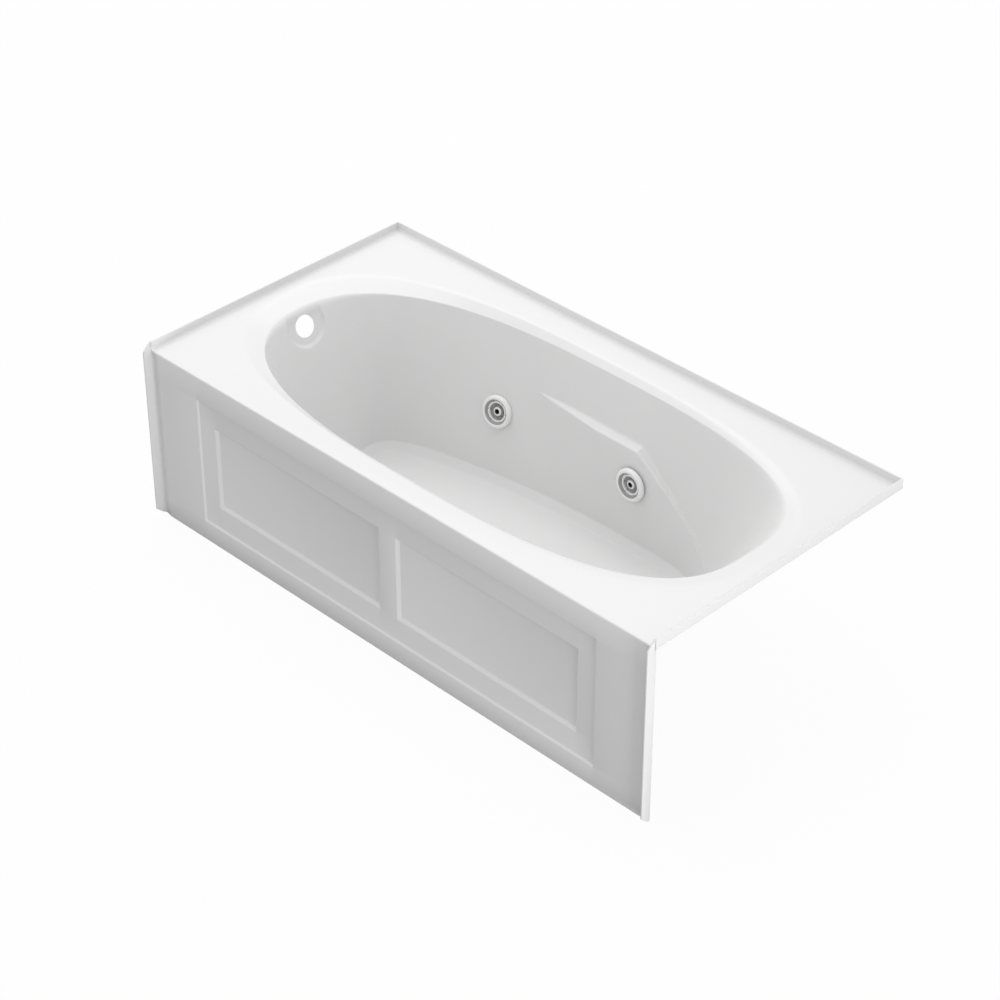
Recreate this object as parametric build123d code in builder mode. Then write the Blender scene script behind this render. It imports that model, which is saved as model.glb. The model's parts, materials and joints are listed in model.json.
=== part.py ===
from build123d import *
from math import cos, sin, pi, hypot
import os

# Alcove jetted bathtub with an apron and a tile flange, in millimetres.
# X runs from the drain end to the backrest end, Y from the apron to the back wall and Z up.
# The origin is on the floor below the middle of the tub.
os.makedirs("parts", exist_ok=True)

# overall sizes
length = 1829.0  # over both end flanges
apron_to_back = 916.0  # apron face to the back of the tile flange
return_reach = 25.0  # how far the front strips stand out past the apron
deck_height = 533.0
flange_height = 25.0  # tile flange above the deck
flange_wall = 4.5
flange_skirt = 5.0  # flange below the deck surface
flange_cove = 9.0
shell_wall = 5.0
deck_edge_radius = 4.0
seat = 0.3  # gap left where one piece is seated on another
wall_slack = 0.15  # radial gap of a pipe in its socket

end_x = length / 2
apron_y = return_reach - (apron_to_back + return_reach) / 2
back_y = apron_y + apron_to_back

# basin outlines, measured in from the drain end, from the backrest end and out from the middle
lip_drain_margin = 36.0
lip_back_margin = 56.0
lip_half = 380.0
rim_drain_margin = 108.0
rim_back_margin = 117.0
rim_half = 358.0
foot_drain_margin = 268.0
foot_back_margin = 389.0
foot_half = 278.0
foot_taper = 0.37  # how much the foot narrows towards the drain
lip_middle = -14.0
rim_middle = -34.0
foot_middle = 166.0
rim_drop_drain = 24.0  # rim below the deck at the drain end
rim_drop_back = 9.0
floor_height = 70.0
floor_bevel = 23.0
outline_points = 56

# armrest ledges
ledge_height = 371.0
ledge_depth = 35.0
ledge_start_margin = 705.0  # from the drain end
ledge_ramp = 175.0
ledge_bend_margin = 733.0  # from the backrest end
ledge_end_margin = 420.0
ledge_end_height = 150.0
ledge_fade = 160.0
ledge_nib = 4.0
ledge_foot = 12.0

# jets
jet_margin = 590.0  # first jet from the drain end
back_jet_margin = 739.0  # second jet from the backrest end
jet_height = 268.0
jet_hole_radius = 31.0
jet_ring_radius = 48.0
jet_funnel_radius = 32.0
jet_ball_radius = 19.0
jet_ball_drop = 12.0  # ball centre behind the wall face
jet_nozzle_radius = 13.0
jet_nozzle_bore = 7.5
jet_port_depth = 60.0  # water port behind the wall face
water_pipe_radius = 16.7
air_barb_radius = 6.0
air_pipe_radius = 10.5
air_pipe_offset = 72.0

# drain, overflow and suction
drain_margin = 368.0
drain_radius = 25.0
overflow_height = 465.0
overflow_radius = 32.0
suction_margin = 565.0
suction_height = 152.0
suction_hole_radius = 36.0
suction_pipe_radius = 24.0

# apron
recess_side = 185.0
recess_top = 75.0
recess_bottom = 61.0
recess_depth = 6.0
panel_frame = 63.0
panel_top_frame = 67.0
panel_bottom_frame = 71.0
panel_depth = 8.0
apron_cove = 14.0
return_chamfer = 23.0

# support
board_thickness = 18.0
board_drain_margin = 325.0
board_back_margin = 435.0
board_half = 130.0
board_corner = 25.0
drain_notch = 60.0  # half the way left in the board round the drain
block_end_margin = 80.0
block_length = 90.0
block_width = 60.0
block_corner = 8.0
rail_height = 38.0
rail_width = 45.0
end_rail_width = 18.0

# pump
pump_inlet_margin = 325.0  # inlet face from the drain end
pump_from_apron = 110.5
motor_radius = 66.0
volute_radius = 78.0
volute_cavity = 62.0
impeller_radius = 56.0
shaft_radius = 8.0
running_gap = 0.06
pump_foot_height = 92.0
shelf_drain_reach = 310.0  # shelf's end past the pump inlet
shelf_overlap = 60.0  # shelf below the board's end
shelf_front_gap = 30.0
shelf_back_lap = 50.0
shelf_corner = 15.0
shelf_foot_inset = 35.0
shelf_foot_radius = 22.0


# one closed oval: where it starts and ends along X, where it is widest, its half width, how square
# each end is, and how much it narrows towards the drain
def oval(left, right, middle, half, drain_power, back_power, taper, grow, count):
    points = []
    for i in range(count):
        angle = 2 * pi * i / count
        c, s = cos(angle), sin(angle)
        power = back_power if c >= 0 else drain_power
        radius = (abs(c) ** power + abs(s) ** power) ** (-1 / power)
        reach = right + grow - middle if c >= 0 else middle - left + grow
        narrow = 1 - taper * (radius * c) ** 2 if c < 0 else 1
        points.append((middle + reach * radius * c, (half + grow) * radius * s * narrow))
    return points


lip_left = lip_drain_margin - end_x
lip_right = end_x - lip_back_margin
rim_left = rim_drain_margin - end_x
rim_right = end_x - rim_back_margin
foot_left = foot_drain_margin - end_x
foot_right = end_x - foot_back_margin


def lip_outline(grow=0.0, count=outline_points):
    return oval(lip_left, lip_right, lip_middle, lip_half, 2.7, 2.7, 0, grow, count)


def rim_outline(grow=0.0, count=outline_points):
    return oval(rim_left, rim_right, rim_middle, rim_half, 2.5, 3.0, 0, grow, count)


def foot_outline(grow=0.0, count=outline_points):
    return oval(foot_left, foot_right, foot_middle, foot_half, 8, 3.5, foot_taper, grow, count)


rim_slope = (rim_drop_drain - rim_drop_back) / (rim_right - rim_left)
rim_level = deck_height - (rim_drop_drain + rim_drop_back) / 2 - rim_slope * (rim_left + rim_right) / 2
foot_level = floor_height + floor_bevel


def rim_plane(drop):
    return Plane(origin=(0, 0, rim_level - drop), x_dir=(1, 0, rim_slope), z_dir=(-rim_slope, 0, 1))


# the wall is ruled from the rim to the foot, so its outline at any height is a blend of the two
def wall_outline(height, grow=0.0, count=outline_points):
    blend = (height - foot_level) / (rim_level - foot_level)
    pairs = zip(foot_outline(grow, count), rim_outline(grow, count))
    return [(a[0] + (b[0] - a[0]) * blend, a[1] + (b[1] - a[1]) * blend) for a, b in pairs]


ledge_start = ledge_start_margin - end_x
ledge_bend = end_x - ledge_bend_margin
ledge_end = end_x - ledge_end_margin


# how far the lower wall stands in from the upper one
def ledge_step(x, height):
    rise = min(max((x - ledge_start) / ledge_ramp, 0), 1)
    fall = min(max((ledge_end - x) / ledge_fade, 0), 1)
    smooth = rise * rise * (3 - 2 * rise) * fall * fall * (3 - 2 * fall)
    return ledge_nib + ledge_depth * smooth * (height - foot_level) / (ledge_height - foot_level)


def lower_wall_outline(height, grow=0.0, count=outline_points):
    points = []
    for x, y in wall_outline(height, grow, count):
        side = 1 if y > 0 else -1
        points.append((x - ledge_nib if x > 0 else x + ledge_nib, y - side * min(abs(y), ledge_step(x, height))))
    return points


# the spline's parameter is the angle, so that two outlines are joined angle by angle
def spline_face(points):
    steps = [i / len(points) for i in range(len(points) + 1)]
    with BuildSketch() as face:
        with BuildLine():
            add(Edge.make_spline([Vector(*point) for point in points], periodic=True, parameters=steps))
        make_face()
    return face.sketch


# the basin's space, grown sideways by the wall and lowered by it for the outer skin
def well(grow, drop, mouth):
    with BuildPart() as form:
        for level in mouth:
            with BuildSketch(Plane.XY.offset(level)):
                add(spline_face(lip_outline(grow)))
        with BuildSketch(rim_plane(drop)):
            add(spline_face(rim_outline(grow)))
        with BuildSketch(Plane.XY.offset(foot_level - drop / 2)):
            add(spline_face(foot_outline(grow)))
        with BuildSketch(Plane.XY.offset(floor_height - drop)):
            add(spline_face(foot_outline(grow - floor_bevel)))
        loft(ruled=True)
    return form.part


# the block under each ledge, between the upper wall and the lower one
def armrests(grow, drop):
    with BuildPart() as inside:
        for level in (foot_level - 10, ledge_height + 10):
            with BuildSketch(Plane.XY.offset(level)):
                add(spline_face(lower_wall_outline(level, grow)))
        loft(ruled=True)
    with BuildPart() as blocks:
        with BuildSketch(Plane.XZ):
            with BuildLine():
                Polyline(
                    (ledge_start, ledge_height - drop),
                    (ledge_bend, ledge_height - drop),
                    (ledge_end, ledge_end_height - drop),
                    (ledge_end, foot_level + ledge_foot),
                    (ledge_start, foot_level + ledge_foot),
                    close=True,
                )
            make_face()
        extrude(amount=rim_half + 40, both=True)
        with Locations((0, 0, ledge_height / 2)):
            Box(length, 2 * 120, 2 * ledge_height, mode=Mode.SUBTRACT)
        add(inside.part, mode=Mode.SUBTRACT)
    return blocks.part


# half width of the basin at a place on its wall
def half_at(x, height, lower):
    fine = 720
    rows = lower_wall_outline(height, 0, fine) if lower else wall_outline(height, 0, fine)
    rows = rows[: fine // 2 + 1]
    for a, b in zip(rows, rows[1:]):
        if b[0] <= x <= a[0]:
            return b[1] + (a[1] - b[1]) * (x - b[0]) / (a[0] - b[0])
    return 0.0


# a plane on the side wall, its Z into the basin, lifted just clear of the curved wall under a flange
def side_wall_plane(x, height, side, flange_radius, lower):
    step = 20.0
    slope_x = (half_at(x + step, height, lower) - half_at(x - step, height, lower)) / (2 * step)
    slope_z = (half_at(x, height + step, lower) - half_at(x, height - step, lower)) / (2 * step)
    middle = half_at(x, height, lower)
    lift = 0.0
    for i in range(12):
        dx = flange_radius * cos(2 * pi * i / 12)
        dz = flange_radius * sin(2 * pi * i / 12)
        flat = middle + slope_x * dx + slope_z * dz
        lift = max(lift, flat - half_at(x + dx, height + dz, lower))
    normal = Vector(slope_x, -side, slope_z).normalized()
    along = Vector(side, slope_x, 0).normalized()
    start = Vector(x, side * middle, height) + normal * (lift + 0.1)
    return Plane(origin=start, x_dir=along, z_dir=normal)


jet_places = []
for side in (-1, 1):
    for number in (0, 1):
        x = end_x - back_jet_margin if number else jet_margin - end_x
        jet_places.append(side_wall_plane(x, jet_height, side, 42, x > ledge_start))
suction_place = side_wall_plane(suction_margin - end_x, suction_height, -1, 60, False)

end_slope = (foot_drain_margin - rim_drain_margin) / (rim_level - foot_level)
overflow_x = rim_left + end_slope * (rim_level + rim_slope * rim_left - overflow_height)
overflow_normal = Vector(1, 0, end_slope).normalized()
overflow_place = Plane(origin=(overflow_x, 0, overflow_height), x_dir=(0, 1, 0), z_dir=overflow_normal)
drain_x = drain_margin - end_x


def place(form, plane):
    return form.part.moved(plane.location)


def save(part, name):
    part.label = name
    export_step(part, f"parts/{name}.step")


# tub shell
with BuildPart() as flange_sides:
    with BuildSketch(Plane.XZ.offset(-apron_y)):
        with BuildLine():
            Line((-end_x, deck_height - flange_skirt), (-end_x, deck_height + flange_height))
            Line((-end_x, deck_height + flange_height), (-end_x + flange_wall, deck_height + flange_height))
            Line(
                (-end_x + flange_wall, deck_height + flange_height),
                (-end_x + flange_wall, deck_height + flange_cove),
            )
            RadiusArc(
                (-end_x + flange_wall, deck_height + flange_cove),
                (-end_x + flange_wall + flange_cove, deck_height),
                flange_cove,
            )
            Line(
                (-end_x + flange_wall + flange_cove, deck_height),
                (-end_x + flange_wall + flange_cove, deck_height - flange_skirt),
            )
            Line(
                (-end_x + flange_wall + flange_cove, deck_height - flange_skirt),
                (-end_x, deck_height - flange_skirt),
            )
        make_face()
        mirror(about=Plane.YZ)
    extrude(amount=-apron_to_back)

with BuildPart() as flange_back:
    with BuildSketch(Plane.YZ.offset(-end_x)):
        with BuildLine():
            Line((back_y, deck_height - flange_skirt), (back_y, deck_height + flange_height))
            Line((back_y, deck_height + flange_height), (back_y - flange_wall, deck_height + flange_height))
            Line(
                (back_y - flange_wall, deck_height + flange_height),
                (back_y - flange_wall, deck_height + flange_cove),
            )
            RadiusArc(
                (back_y - flange_wall, deck_height + flange_cove),
                (back_y - flange_wall - flange_cove, deck_height),
                -flange_cove,
            )
            Line(
                (back_y - flange_wall - flange_cove, deck_height),
                (back_y - flange_wall - flange_cove, deck_height - flange_skirt),
            )
            Line(
                (back_y - flange_wall - flange_cove, deck_height - flange_skirt),
                (back_y, deck_height - flange_skirt),
            )
        make_face()
    extrude(amount=length)

with BuildPart() as tub_shell:
    with Locations((0, (apron_y + back_y) / 2, deck_height - shell_wall / 2)):
        Box(length - 2 * flange_wall, apron_to_back, shell_wall)
    front_edge = tub_shell.edges().filter_by(Axis.X).group_by(Axis.Y)[0].sort_by(Axis.Z)[-1]
    fillet(front_edge, deck_edge_radius)
    add(flange_sides.part)
    add(flange_back.part)
    add(well(shell_wall, shell_wall, (deck_height - shell_wall / 2,)) - armrests(shell_wall, shell_wall))
    add(well(0, 0, (deck_height + 20, deck_height)) - armrests(0, 0), mode=Mode.SUBTRACT)
    for jet_place in jet_places:
        with BuildSketch(jet_place):
            Circle(jet_hole_radius)
        extrude(amount=30, both=True, mode=Mode.SUBTRACT)
    with BuildSketch(suction_place):
        Circle(suction_hole_radius + 0.5)
    extrude(amount=30, both=True, mode=Mode.SUBTRACT)
    with BuildSketch(overflow_place):
        Circle(overflow_radius)
    extrude(amount=30, both=True, mode=Mode.SUBTRACT)
    with BuildSketch(Plane.XY.offset(floor_height)):
        with Locations((drain_x, 0)):
            Circle(drain_radius)
    extrude(amount=20, both=True, mode=Mode.SUBTRACT)
save(tub_shell.part, "tub_shell")

# apron: the front of a block with its recesses, less the same block set back by the wall
with BuildPart() as apron_front:
    with BuildSketch(Plane.XZ.offset(-apron_y)):
        with Locations((0, (deck_height - shell_wall) / 2)):
            Rectangle(length, deck_height - shell_wall)
    extrude(amount=-60)
    recess_height = deck_height - recess_top - recess_bottom
    with BuildSketch(Plane.XZ.offset(-apron_y)):
        with Locations((0, recess_bottom + recess_height / 2)):
            Rectangle(length - 2 * recess_side, recess_height)
    extrude(amount=-recess_depth, taper=30, mode=Mode.SUBTRACT)
    panel_width = (length - 2 * recess_side - 3 * panel_frame) / 2
    panel_height = recess_height - panel_top_frame - panel_bottom_frame
    with BuildSketch(Plane.XZ.offset(-apron_y - recess_depth)):
        with Locations((0, recess_bottom + panel_bottom_frame + panel_height / 2)):
            with GridLocations(panel_width + panel_frame, 0, 2, 1):
                Rectangle(panel_width, panel_height)
    extrude(amount=-panel_depth, taper=45, mode=Mode.SUBTRACT)

with BuildPart() as front_apron:
    add(apron_front.part)
    add(apron_front.part.moved(Location((0, shell_wall, 0))), mode=Mode.SUBTRACT)
    for x in (-end_x, end_x - flange_wall):
        with BuildSketch(Plane.YZ.offset(x)):
            with BuildLine():
                top = deck_height + flange_height
                Polyline(
                    (apron_y + shell_wall, 0),
                    (apron_y, 0),
                    (apron_y - return_reach, return_chamfer),
                    (apron_y - return_reach, top - return_chamfer),
                    (apron_y - return_reach + return_chamfer, top),
                    (apron_y, top),
                    (apron_y, deck_height - shell_wall),
                    (apron_y + shell_wall, deck_height - shell_wall),
                    close=True,
                )
            make_face()
        extrude(amount=flange_wall)
    corners = [
        edge
        for edge in front_apron.edges().filter_by(Axis.Z)
        if abs(edge.center().Y - apron_y) < 0.1
        and abs(abs(edge.center().X) - (end_x - flange_wall)) < 0.1
        and edge.length > deck_height / 2
    ]
    fillet(corners, apron_cove)
save(front_apron.part, "front_apron")

# wooden rails under the deck
under_deck = deck_height - shell_wall
with BuildPart() as rear_deck_rail:
    with BuildSketch(Plane.XY.offset(under_deck)):
        with Locations((0, lip_half + 2 * shell_wall + rail_width / 2)):
            Rectangle(length - 2 * end_rail_width - 40, rail_width)
    extrude(amount=-rail_height)
    chamfer(rear_deck_rail.edges().filter_by(Axis.X).group_by(Axis.Z)[0], 3)
save(rear_deck_rail.part, "rear_deck_rail")

with BuildPart() as front_deck_rail:
    with BuildSketch(Plane.XY.offset(under_deck)):
        with Locations((0, apron_y + shell_wall + seat + rail_width / 2)):
            Rectangle(length - 2 * end_rail_width - 40, rail_width)
    extrude(amount=-rail_height)
    chamfer(front_deck_rail.edges().filter_by(Axis.X).group_by(Axis.Z)[0], 3)
save(front_deck_rail.part, "front_deck_rail")

# base under the floor
floor_under = floor_height - shell_wall
board_left = board_drain_margin - end_x
board_right = end_x - board_back_margin
board_middle = (board_left + board_right) / 2
with BuildPart() as bottom_board:
    with BuildSketch(Plane.XY.offset(floor_under)):
        with Locations((board_middle, 0)):
            RectangleRounded(board_right - board_left, 2 * board_half, board_corner)
        with Locations((board_left, 0)):
            Rectangle(2 * (drain_x + drain_notch - board_left), 2 * drain_notch, mode=Mode.SUBTRACT)
    extrude(amount=-board_thickness)
save(bottom_board.part, "bottom_board")

block_top = floor_under - board_thickness
block_reach = board_right - board_left - 4 * block_end_margin
with BuildPart() as support_blocks:
    with BuildSketch(Plane.XY.offset(block_top)):
        with Locations((board_middle + block_end_margin, 0)):
            with GridLocations(block_reach / 2, 2 * board_half - block_end_margin, 3, 2):
                RectangleRounded(block_length, block_width, block_corner)
    extrude(amount=-block_top, taper=-3)
save(support_blocks.part, "support_blocks")

# pump shelf, screwed below the board's front corner
inlet_x = pump_inlet_margin - end_x
pump_y = apron_y + pump_from_apron
shelf_left = inlet_x - shelf_drain_reach
shelf_right = board_left + shelf_overlap
shelf_front = apron_y + shelf_front_gap
shelf_back = shelf_back_lap - board_half
with BuildPart() as pump_shelf:
    with BuildSketch(Plane.XY.offset(block_top)):
        with Locations(((shelf_left + shelf_right) / 2, (shelf_front + shelf_back) / 2)):
            RectangleRounded(shelf_right - shelf_left, shelf_back - shelf_front, shelf_corner)
    extrude(amount=-board_thickness)
save(pump_shelf.part, "pump_shelf")

with BuildPart() as shelf_feet:
    with BuildSketch():
        with Locations(((shelf_left + shelf_right) / 2, (shelf_front + shelf_back) / 2)):
            foot_x = shelf_right - shelf_left - 2 * shelf_foot_inset
            foot_y = shelf_back - shelf_front - 2 * shelf_foot_inset
            with GridLocations(foot_x, foot_y, 2, 2):
                Circle(shelf_foot_radius)
    extrude(amount=block_top - board_thickness, taper=4)
save(shelf_feet.part, "shelf_feet")

# jets, drawn once about their own axis: Z into the basin, zero at the basin face of the wall
gasket_thickness = 1.5
flange_thickness = 3.0
flange_radius = 41.0
neck_radius = jet_hole_radius - 0.5
neck_bore = 25.5
neck_back = -shell_wall - 24
nut_thickness = 7.0
body_front = -shell_wall - 2.8
ring_back = gasket_thickness + flange_thickness + seat
ball_z = -jet_ball_drop
ball_gap = 0.3


def ring_of_revolution(profile):
    with BuildPart() as form:
        with BuildSketch(Plane.XZ):
            with BuildLine():
                Polyline(*profile, close=True)
            make_face()
        revolve(axis=Axis.Z)
    return form


jet_gasket = ring_of_revolution(
    [
        (neck_radius + seat, 0),
        (flange_radius - 1, 0),
        (flange_radius - 1, gasket_thickness),
        (neck_radius + seat, gasket_thickness),
    ]
)
jet_flange = ring_of_revolution(
    [
        (neck_bore, gasket_thickness + flange_thickness),
        (flange_radius, gasket_thickness + flange_thickness),
        (flange_radius, gasket_thickness),
        (neck_radius, gasket_thickness),
        (neck_radius, neck_back),
        (neck_bore, neck_back),
    ]
)

# the body screws onto the neck and holds the water chamber, its two pipe sockets and the air barb
chamber_back = -(jet_port_depth + 24)
socket_reach = 58.0
socket_depth = 16.0
water_port = water_pipe_radius + wall_slack
with BuildPart() as jet_body:
    with BuildSketch(Plane.XZ):
        with BuildLine():
            Polyline(
                (0, chamber_back),
                (22, chamber_back),
                (27, chamber_back + 6),
                (27, neck_back - 12),
                (35, neck_back - 4),
                (35, body_front - nut_thickness),
                (39, body_front - nut_thickness + 2),
                (39, body_front),
                (0, body_front),
                close=True,
            )
        make_face()
    revolve(axis=Axis.Z)
    with BuildSketch(Plane.YZ):
        with Locations((0, -jet_port_depth)):
            Circle(water_pipe_radius + 4)
    extrude(amount=socket_reach, both=True)
    with BuildSketch(Plane.XZ.offset(-20)):
        with Locations((0, -jet_port_depth)):
            Circle(air_barb_radius)
    extrude(amount=-28)
    with BuildSketch(Plane.XY.offset(-shell_wall)):
        Circle(neck_radius + 0.1)
    extrude(amount=neck_back + shell_wall, mode=Mode.SUBTRACT)
    with BuildSketch(Plane.XY.offset(neck_back)):
        Circle(neck_bore - 3.5)
    extrude(amount=chamber_back + 4 - neck_back, mode=Mode.SUBTRACT)
    with BuildSketch(Plane.YZ):
        with Locations((0, -jet_port_depth)):
            Circle(water_pipe_radius - 2.5)
    extrude(amount=socket_reach, both=True, mode=Mode.SUBTRACT)
    for direction in (-1, 1):
        with BuildSketch(Plane.YZ.offset(direction * socket_reach)):
            with Locations((0, -jet_port_depth)):
                Circle(water_port)
        extrude(amount=-direction * socket_depth, mode=Mode.SUBTRACT)
    with BuildSketch(Plane.XZ.offset(-10)):
        with Locations((0, -jet_port_depth)):
            Circle(air_barb_radius - 2)
    extrude(amount=-40, mode=Mode.SUBTRACT)

# the seat stands on the neck's back shoulder and holds the ball from behind
seat_height = 9.0
with BuildPart() as jet_seat:
    with BuildSketch(Plane.XY.offset(neck_back)):
        Circle(neck_bore - 0.2)
        Circle(11, mode=Mode.SUBTRACT)
    extrude(amount=seat_height)
    with Locations((0, 0, ball_z)):
        Sphere(jet_ball_radius + ball_gap, mode=Mode.SUBTRACT)

# trim ring: a rounded lip, a funnel and the socket that keeps the ball in
socket_lip = 8.2
with BuildPart() as jet_ring:
    with BuildSketch(Plane.XZ):
        with BuildLine():
            crown = (jet_ring_radius + jet_funnel_radius) / 2
            l1 = Line((flange_radius + 0.6, 0.8), (jet_ring_radius, 0.8))
            l2 = ThreePointArc(l1 @ 1, (jet_ring_radius - 2, ring_back + 5.5), (crown, ring_back + 8))
            l3 = ThreePointArc(l2 @ 1, (jet_funnel_radius + 2.5, ring_back + 6.5), (jet_funnel_radius, ring_back + 2.5))
            l4 = Line(l3 @ 1, (jet_ball_radius + 3, ball_z + socket_lip))
            l5 = Line(l4 @ 1, (jet_ball_radius - 2, ball_z + socket_lip))
            l6 = Line(l5 @ 1, (jet_ball_radius - 2, ball_z - 4))
            l7 = Line(l6 @ 1, (neck_bore - 0.4, ball_z - 4))
            l8 = Line(l7 @ 1, (neck_bore - 0.4, ring_back))
            l9 = Line(l8 @ 1, (flange_radius + 0.6, ring_back))
            l10 = Line(l9 @ 1, l1 @ 0)
        make_face()
    revolve(axis=Axis.Z)
    with Locations((0, 0, ball_z)):
        Sphere(jet_ball_radius + ball_gap, mode=Mode.SUBTRACT)

with BuildPart() as jet_nozzle:
    with BuildSketch(Plane.XZ):
        with BuildLine():
            reach = 17.0
            waist = (jet_ball_radius**2 - jet_nozzle_radius**2) ** 0.5
            rear = (jet_ball_radius**2 - 11**2) ** 0.5
            m1 = Line((jet_nozzle_bore, ball_z + reach), (jet_nozzle_radius - 2.5, ball_z + reach))
            m2 = Line(m1 @ 1, (jet_nozzle_radius, ball_z + waist))
            m3 = ThreePointArc(m2 @ 1, (jet_ball_radius, ball_z), (11, ball_z - rear))
            m4 = Line(m3 @ 1, (jet_nozzle_bore, ball_z - rear + 6))
            m5 = Line(m4 @ 1, m1 @ 0)
        make_face()
    revolve(axis=Axis.Z)

jet_names = ("front_drain_jet", "front_back_jet", "rear_drain_jet", "rear_back_jet")
for name, jet_place in zip(jet_names, jet_places):
    save(place(jet_body, jet_place), f"{name}_body")
    save(place(jet_ring, jet_place), f"{name}_ring")
    save(place(jet_nozzle, jet_place), f"{name}_nozzle")
save(Part(children=[place(jet_gasket, p) for p in jet_places]), "jet_gaskets")
save(Part(children=[place(jet_flange, p) for p in jet_places]), "jet_flanges")
save(Part(children=[place(jet_seat, p) for p in jet_places]), "jet_seats")

# suction fitting, drawn about its own axis like the jets
suction_flange_radius = 49.0
suction_neck = suction_hole_radius - 0.4
suction_gasket = ring_of_revolution(
    [
        (suction_neck + 0.4, 0),
        (suction_flange_radius - 1, 0),
        (suction_flange_radius - 1, gasket_thickness),
        (suction_neck + 0.4, gasket_thickness),
    ]
)
save(place(suction_gasket, suction_place), "suction_gasket")

suction_screw_radius = 42.5
cover_back = gasket_thickness + flange_thickness
with BuildPart() as suction_flange:
    with BuildSketch(Plane.XZ):
        with BuildLine():
            Polyline(
                (suction_neck - 4, cover_back),
                (suction_flange_radius, cover_back),
                (suction_flange_radius, gasket_thickness),
                (suction_neck, gasket_thickness),
                (suction_neck, neck_back),
                (suction_neck - 4, neck_back),
                close=True,
            )
        make_face()
    revolve(axis=Axis.Z)
    with BuildSketch(Plane.XY):
        with PolarLocations(suction_screw_radius, 2, start_angle=50):
            Circle(1.9)
    extrude(amount=20, mode=Mode.SUBTRACT)
save(place(suction_flange, suction_place), "suction_flange")

suction_depth = 48.0
suction_port = suction_pipe_radius + wall_slack
suction_socket_reach = 66.0
suction_socket_depth = 20.0
with BuildPart() as suction_body:
    with BuildSketch(Plane.XZ):
        with BuildLine():
            Polyline(
                (0, -suction_depth - 33),
                (30, -suction_depth - 33),
                (40, -suction_depth - 24),
                (40, body_front - nut_thickness - 2),
                (47, body_front - nut_thickness),
                (47, body_front),
                (0, body_front),
                close=True,
            )
        make_face()
    revolve(axis=Axis.Z)
    with BuildSketch(Plane.YZ):
        with Locations((0, -suction_depth)):
            Circle(suction_pipe_radius + 5)
    extrude(amount=suction_socket_reach)
    with BuildSketch(Plane.XY):
        Circle(suction_neck + 0.1)
    extrude(amount=neck_back, mode=Mode.SUBTRACT)
    with BuildSketch(Plane.XY.offset(neck_back)):
        Circle(suction_neck - 4)
    extrude(amount=-(suction_depth + 28 + neck_back), mode=Mode.SUBTRACT)
    with BuildSketch(Plane.YZ):
        with Locations((0, -suction_depth)):
            Circle(suction_pipe_radius - 3.5)
    extrude(amount=suction_socket_reach, mode=Mode.SUBTRACT)
    with BuildSketch(Plane.YZ.offset(suction_socket_reach)):
        with Locations((0, -suction_depth)):
            Circle(suction_port)
    extrude(amount=-suction_socket_depth, mode=Mode.SUBTRACT)
save(place(suction_body, suction_place), "suction_body")

# domed grille over the suction opening
cover_radius = 54.0
cover_rise = 15.0
cover_wall = 3.0
cover_pocket = 38.0
with BuildPart() as suction_cover:
    with BuildSketch(Plane.XZ):
        with BuildLine():
            crown = cover_back + cover_rise
            under = crown - cover_wall
            c1 = ThreePointArc(
                (0, crown), (cover_radius / 2, crown - cover_rise / 4), (cover_radius, cover_back + 1.5)
            )
            c2 = Line(c1 @ 1, (cover_radius, cover_back - 2))
            c3 = Line(c2 @ 1, (suction_flange_radius + 0.6, cover_back - 2))
            c4 = Line(c3 @ 1, (suction_flange_radius + 0.6, cover_back + seat))
            c5 = Line(c4 @ 1, (cover_pocket, cover_back + seat))
            c6 = Line(c5 @ 1, (cover_pocket, under - cover_rise / 2))
            c7 = ThreePointArc(c6 @ 1, (cover_pocket / 2, under - cover_rise / 8), (0, under))
            Line(c7 @ 1, c1 @ 0)
        make_face()
    revolve(axis=Axis.Z)
    with BuildSketch(Plane.XY):
        for hole_ring, hole_count in ((11, 6), (21, 12), (31, 16)):
            with PolarLocations(hole_ring, hole_count, start_angle=180 / hole_count):
                Circle(2.6)
        with PolarLocations(suction_screw_radius, 2, start_angle=50):
            Circle(2.3)
    extrude(amount=40, mode=Mode.SUBTRACT)
    with BuildSketch(Plane.XY.offset(cover_back + 5.5)):
        with PolarLocations(suction_screw_radius, 2, start_angle=50):
            Circle(4.6)
    extrude(amount=20, mode=Mode.SUBTRACT)
save(place(suction_cover, suction_place), "suction_cover")

with BuildPart() as suction_screws:
    with BuildSketch(Plane.XY.offset(cover_back + 5.5)):
        with PolarLocations(suction_screw_radius, 2, start_angle=50):
            Circle(4.2)
    extrude(amount=2.6)
    with BuildSketch(Plane.XY.offset(cover_back + 5.5)):
        with PolarLocations(suction_screw_radius, 2, start_angle=50):
            Circle(1.8)
    extrude(amount=-(flange_thickness + 4))
save(place(suction_screws, suction_place), "suction_screws")

# pump, drawn about its shaft: Z from the inlet face to the fan, X up
pump_z = block_top + pump_foot_height + 6
pump_place = Plane(origin=(inlet_x, pump_y, pump_z), x_dir=(0, 0, 1), z_dir=(-1, 0, 0))
neck_length = 24.0
volute_back = 74.0
plate_back = 84.0
bell_back = 104.0
housing_back = 244.0
rear_bell_back = 262.0
fan_cover_back = 300.0
outlet_offset = 40.0
outlet_height = 88.0
outlet_z = 50.0
pump_neck_radius = 30.0
outlet_neck_radius = 23.0
bolt_circle = 72.0


def on_pump(form):
    return place(form, pump_place)


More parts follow.
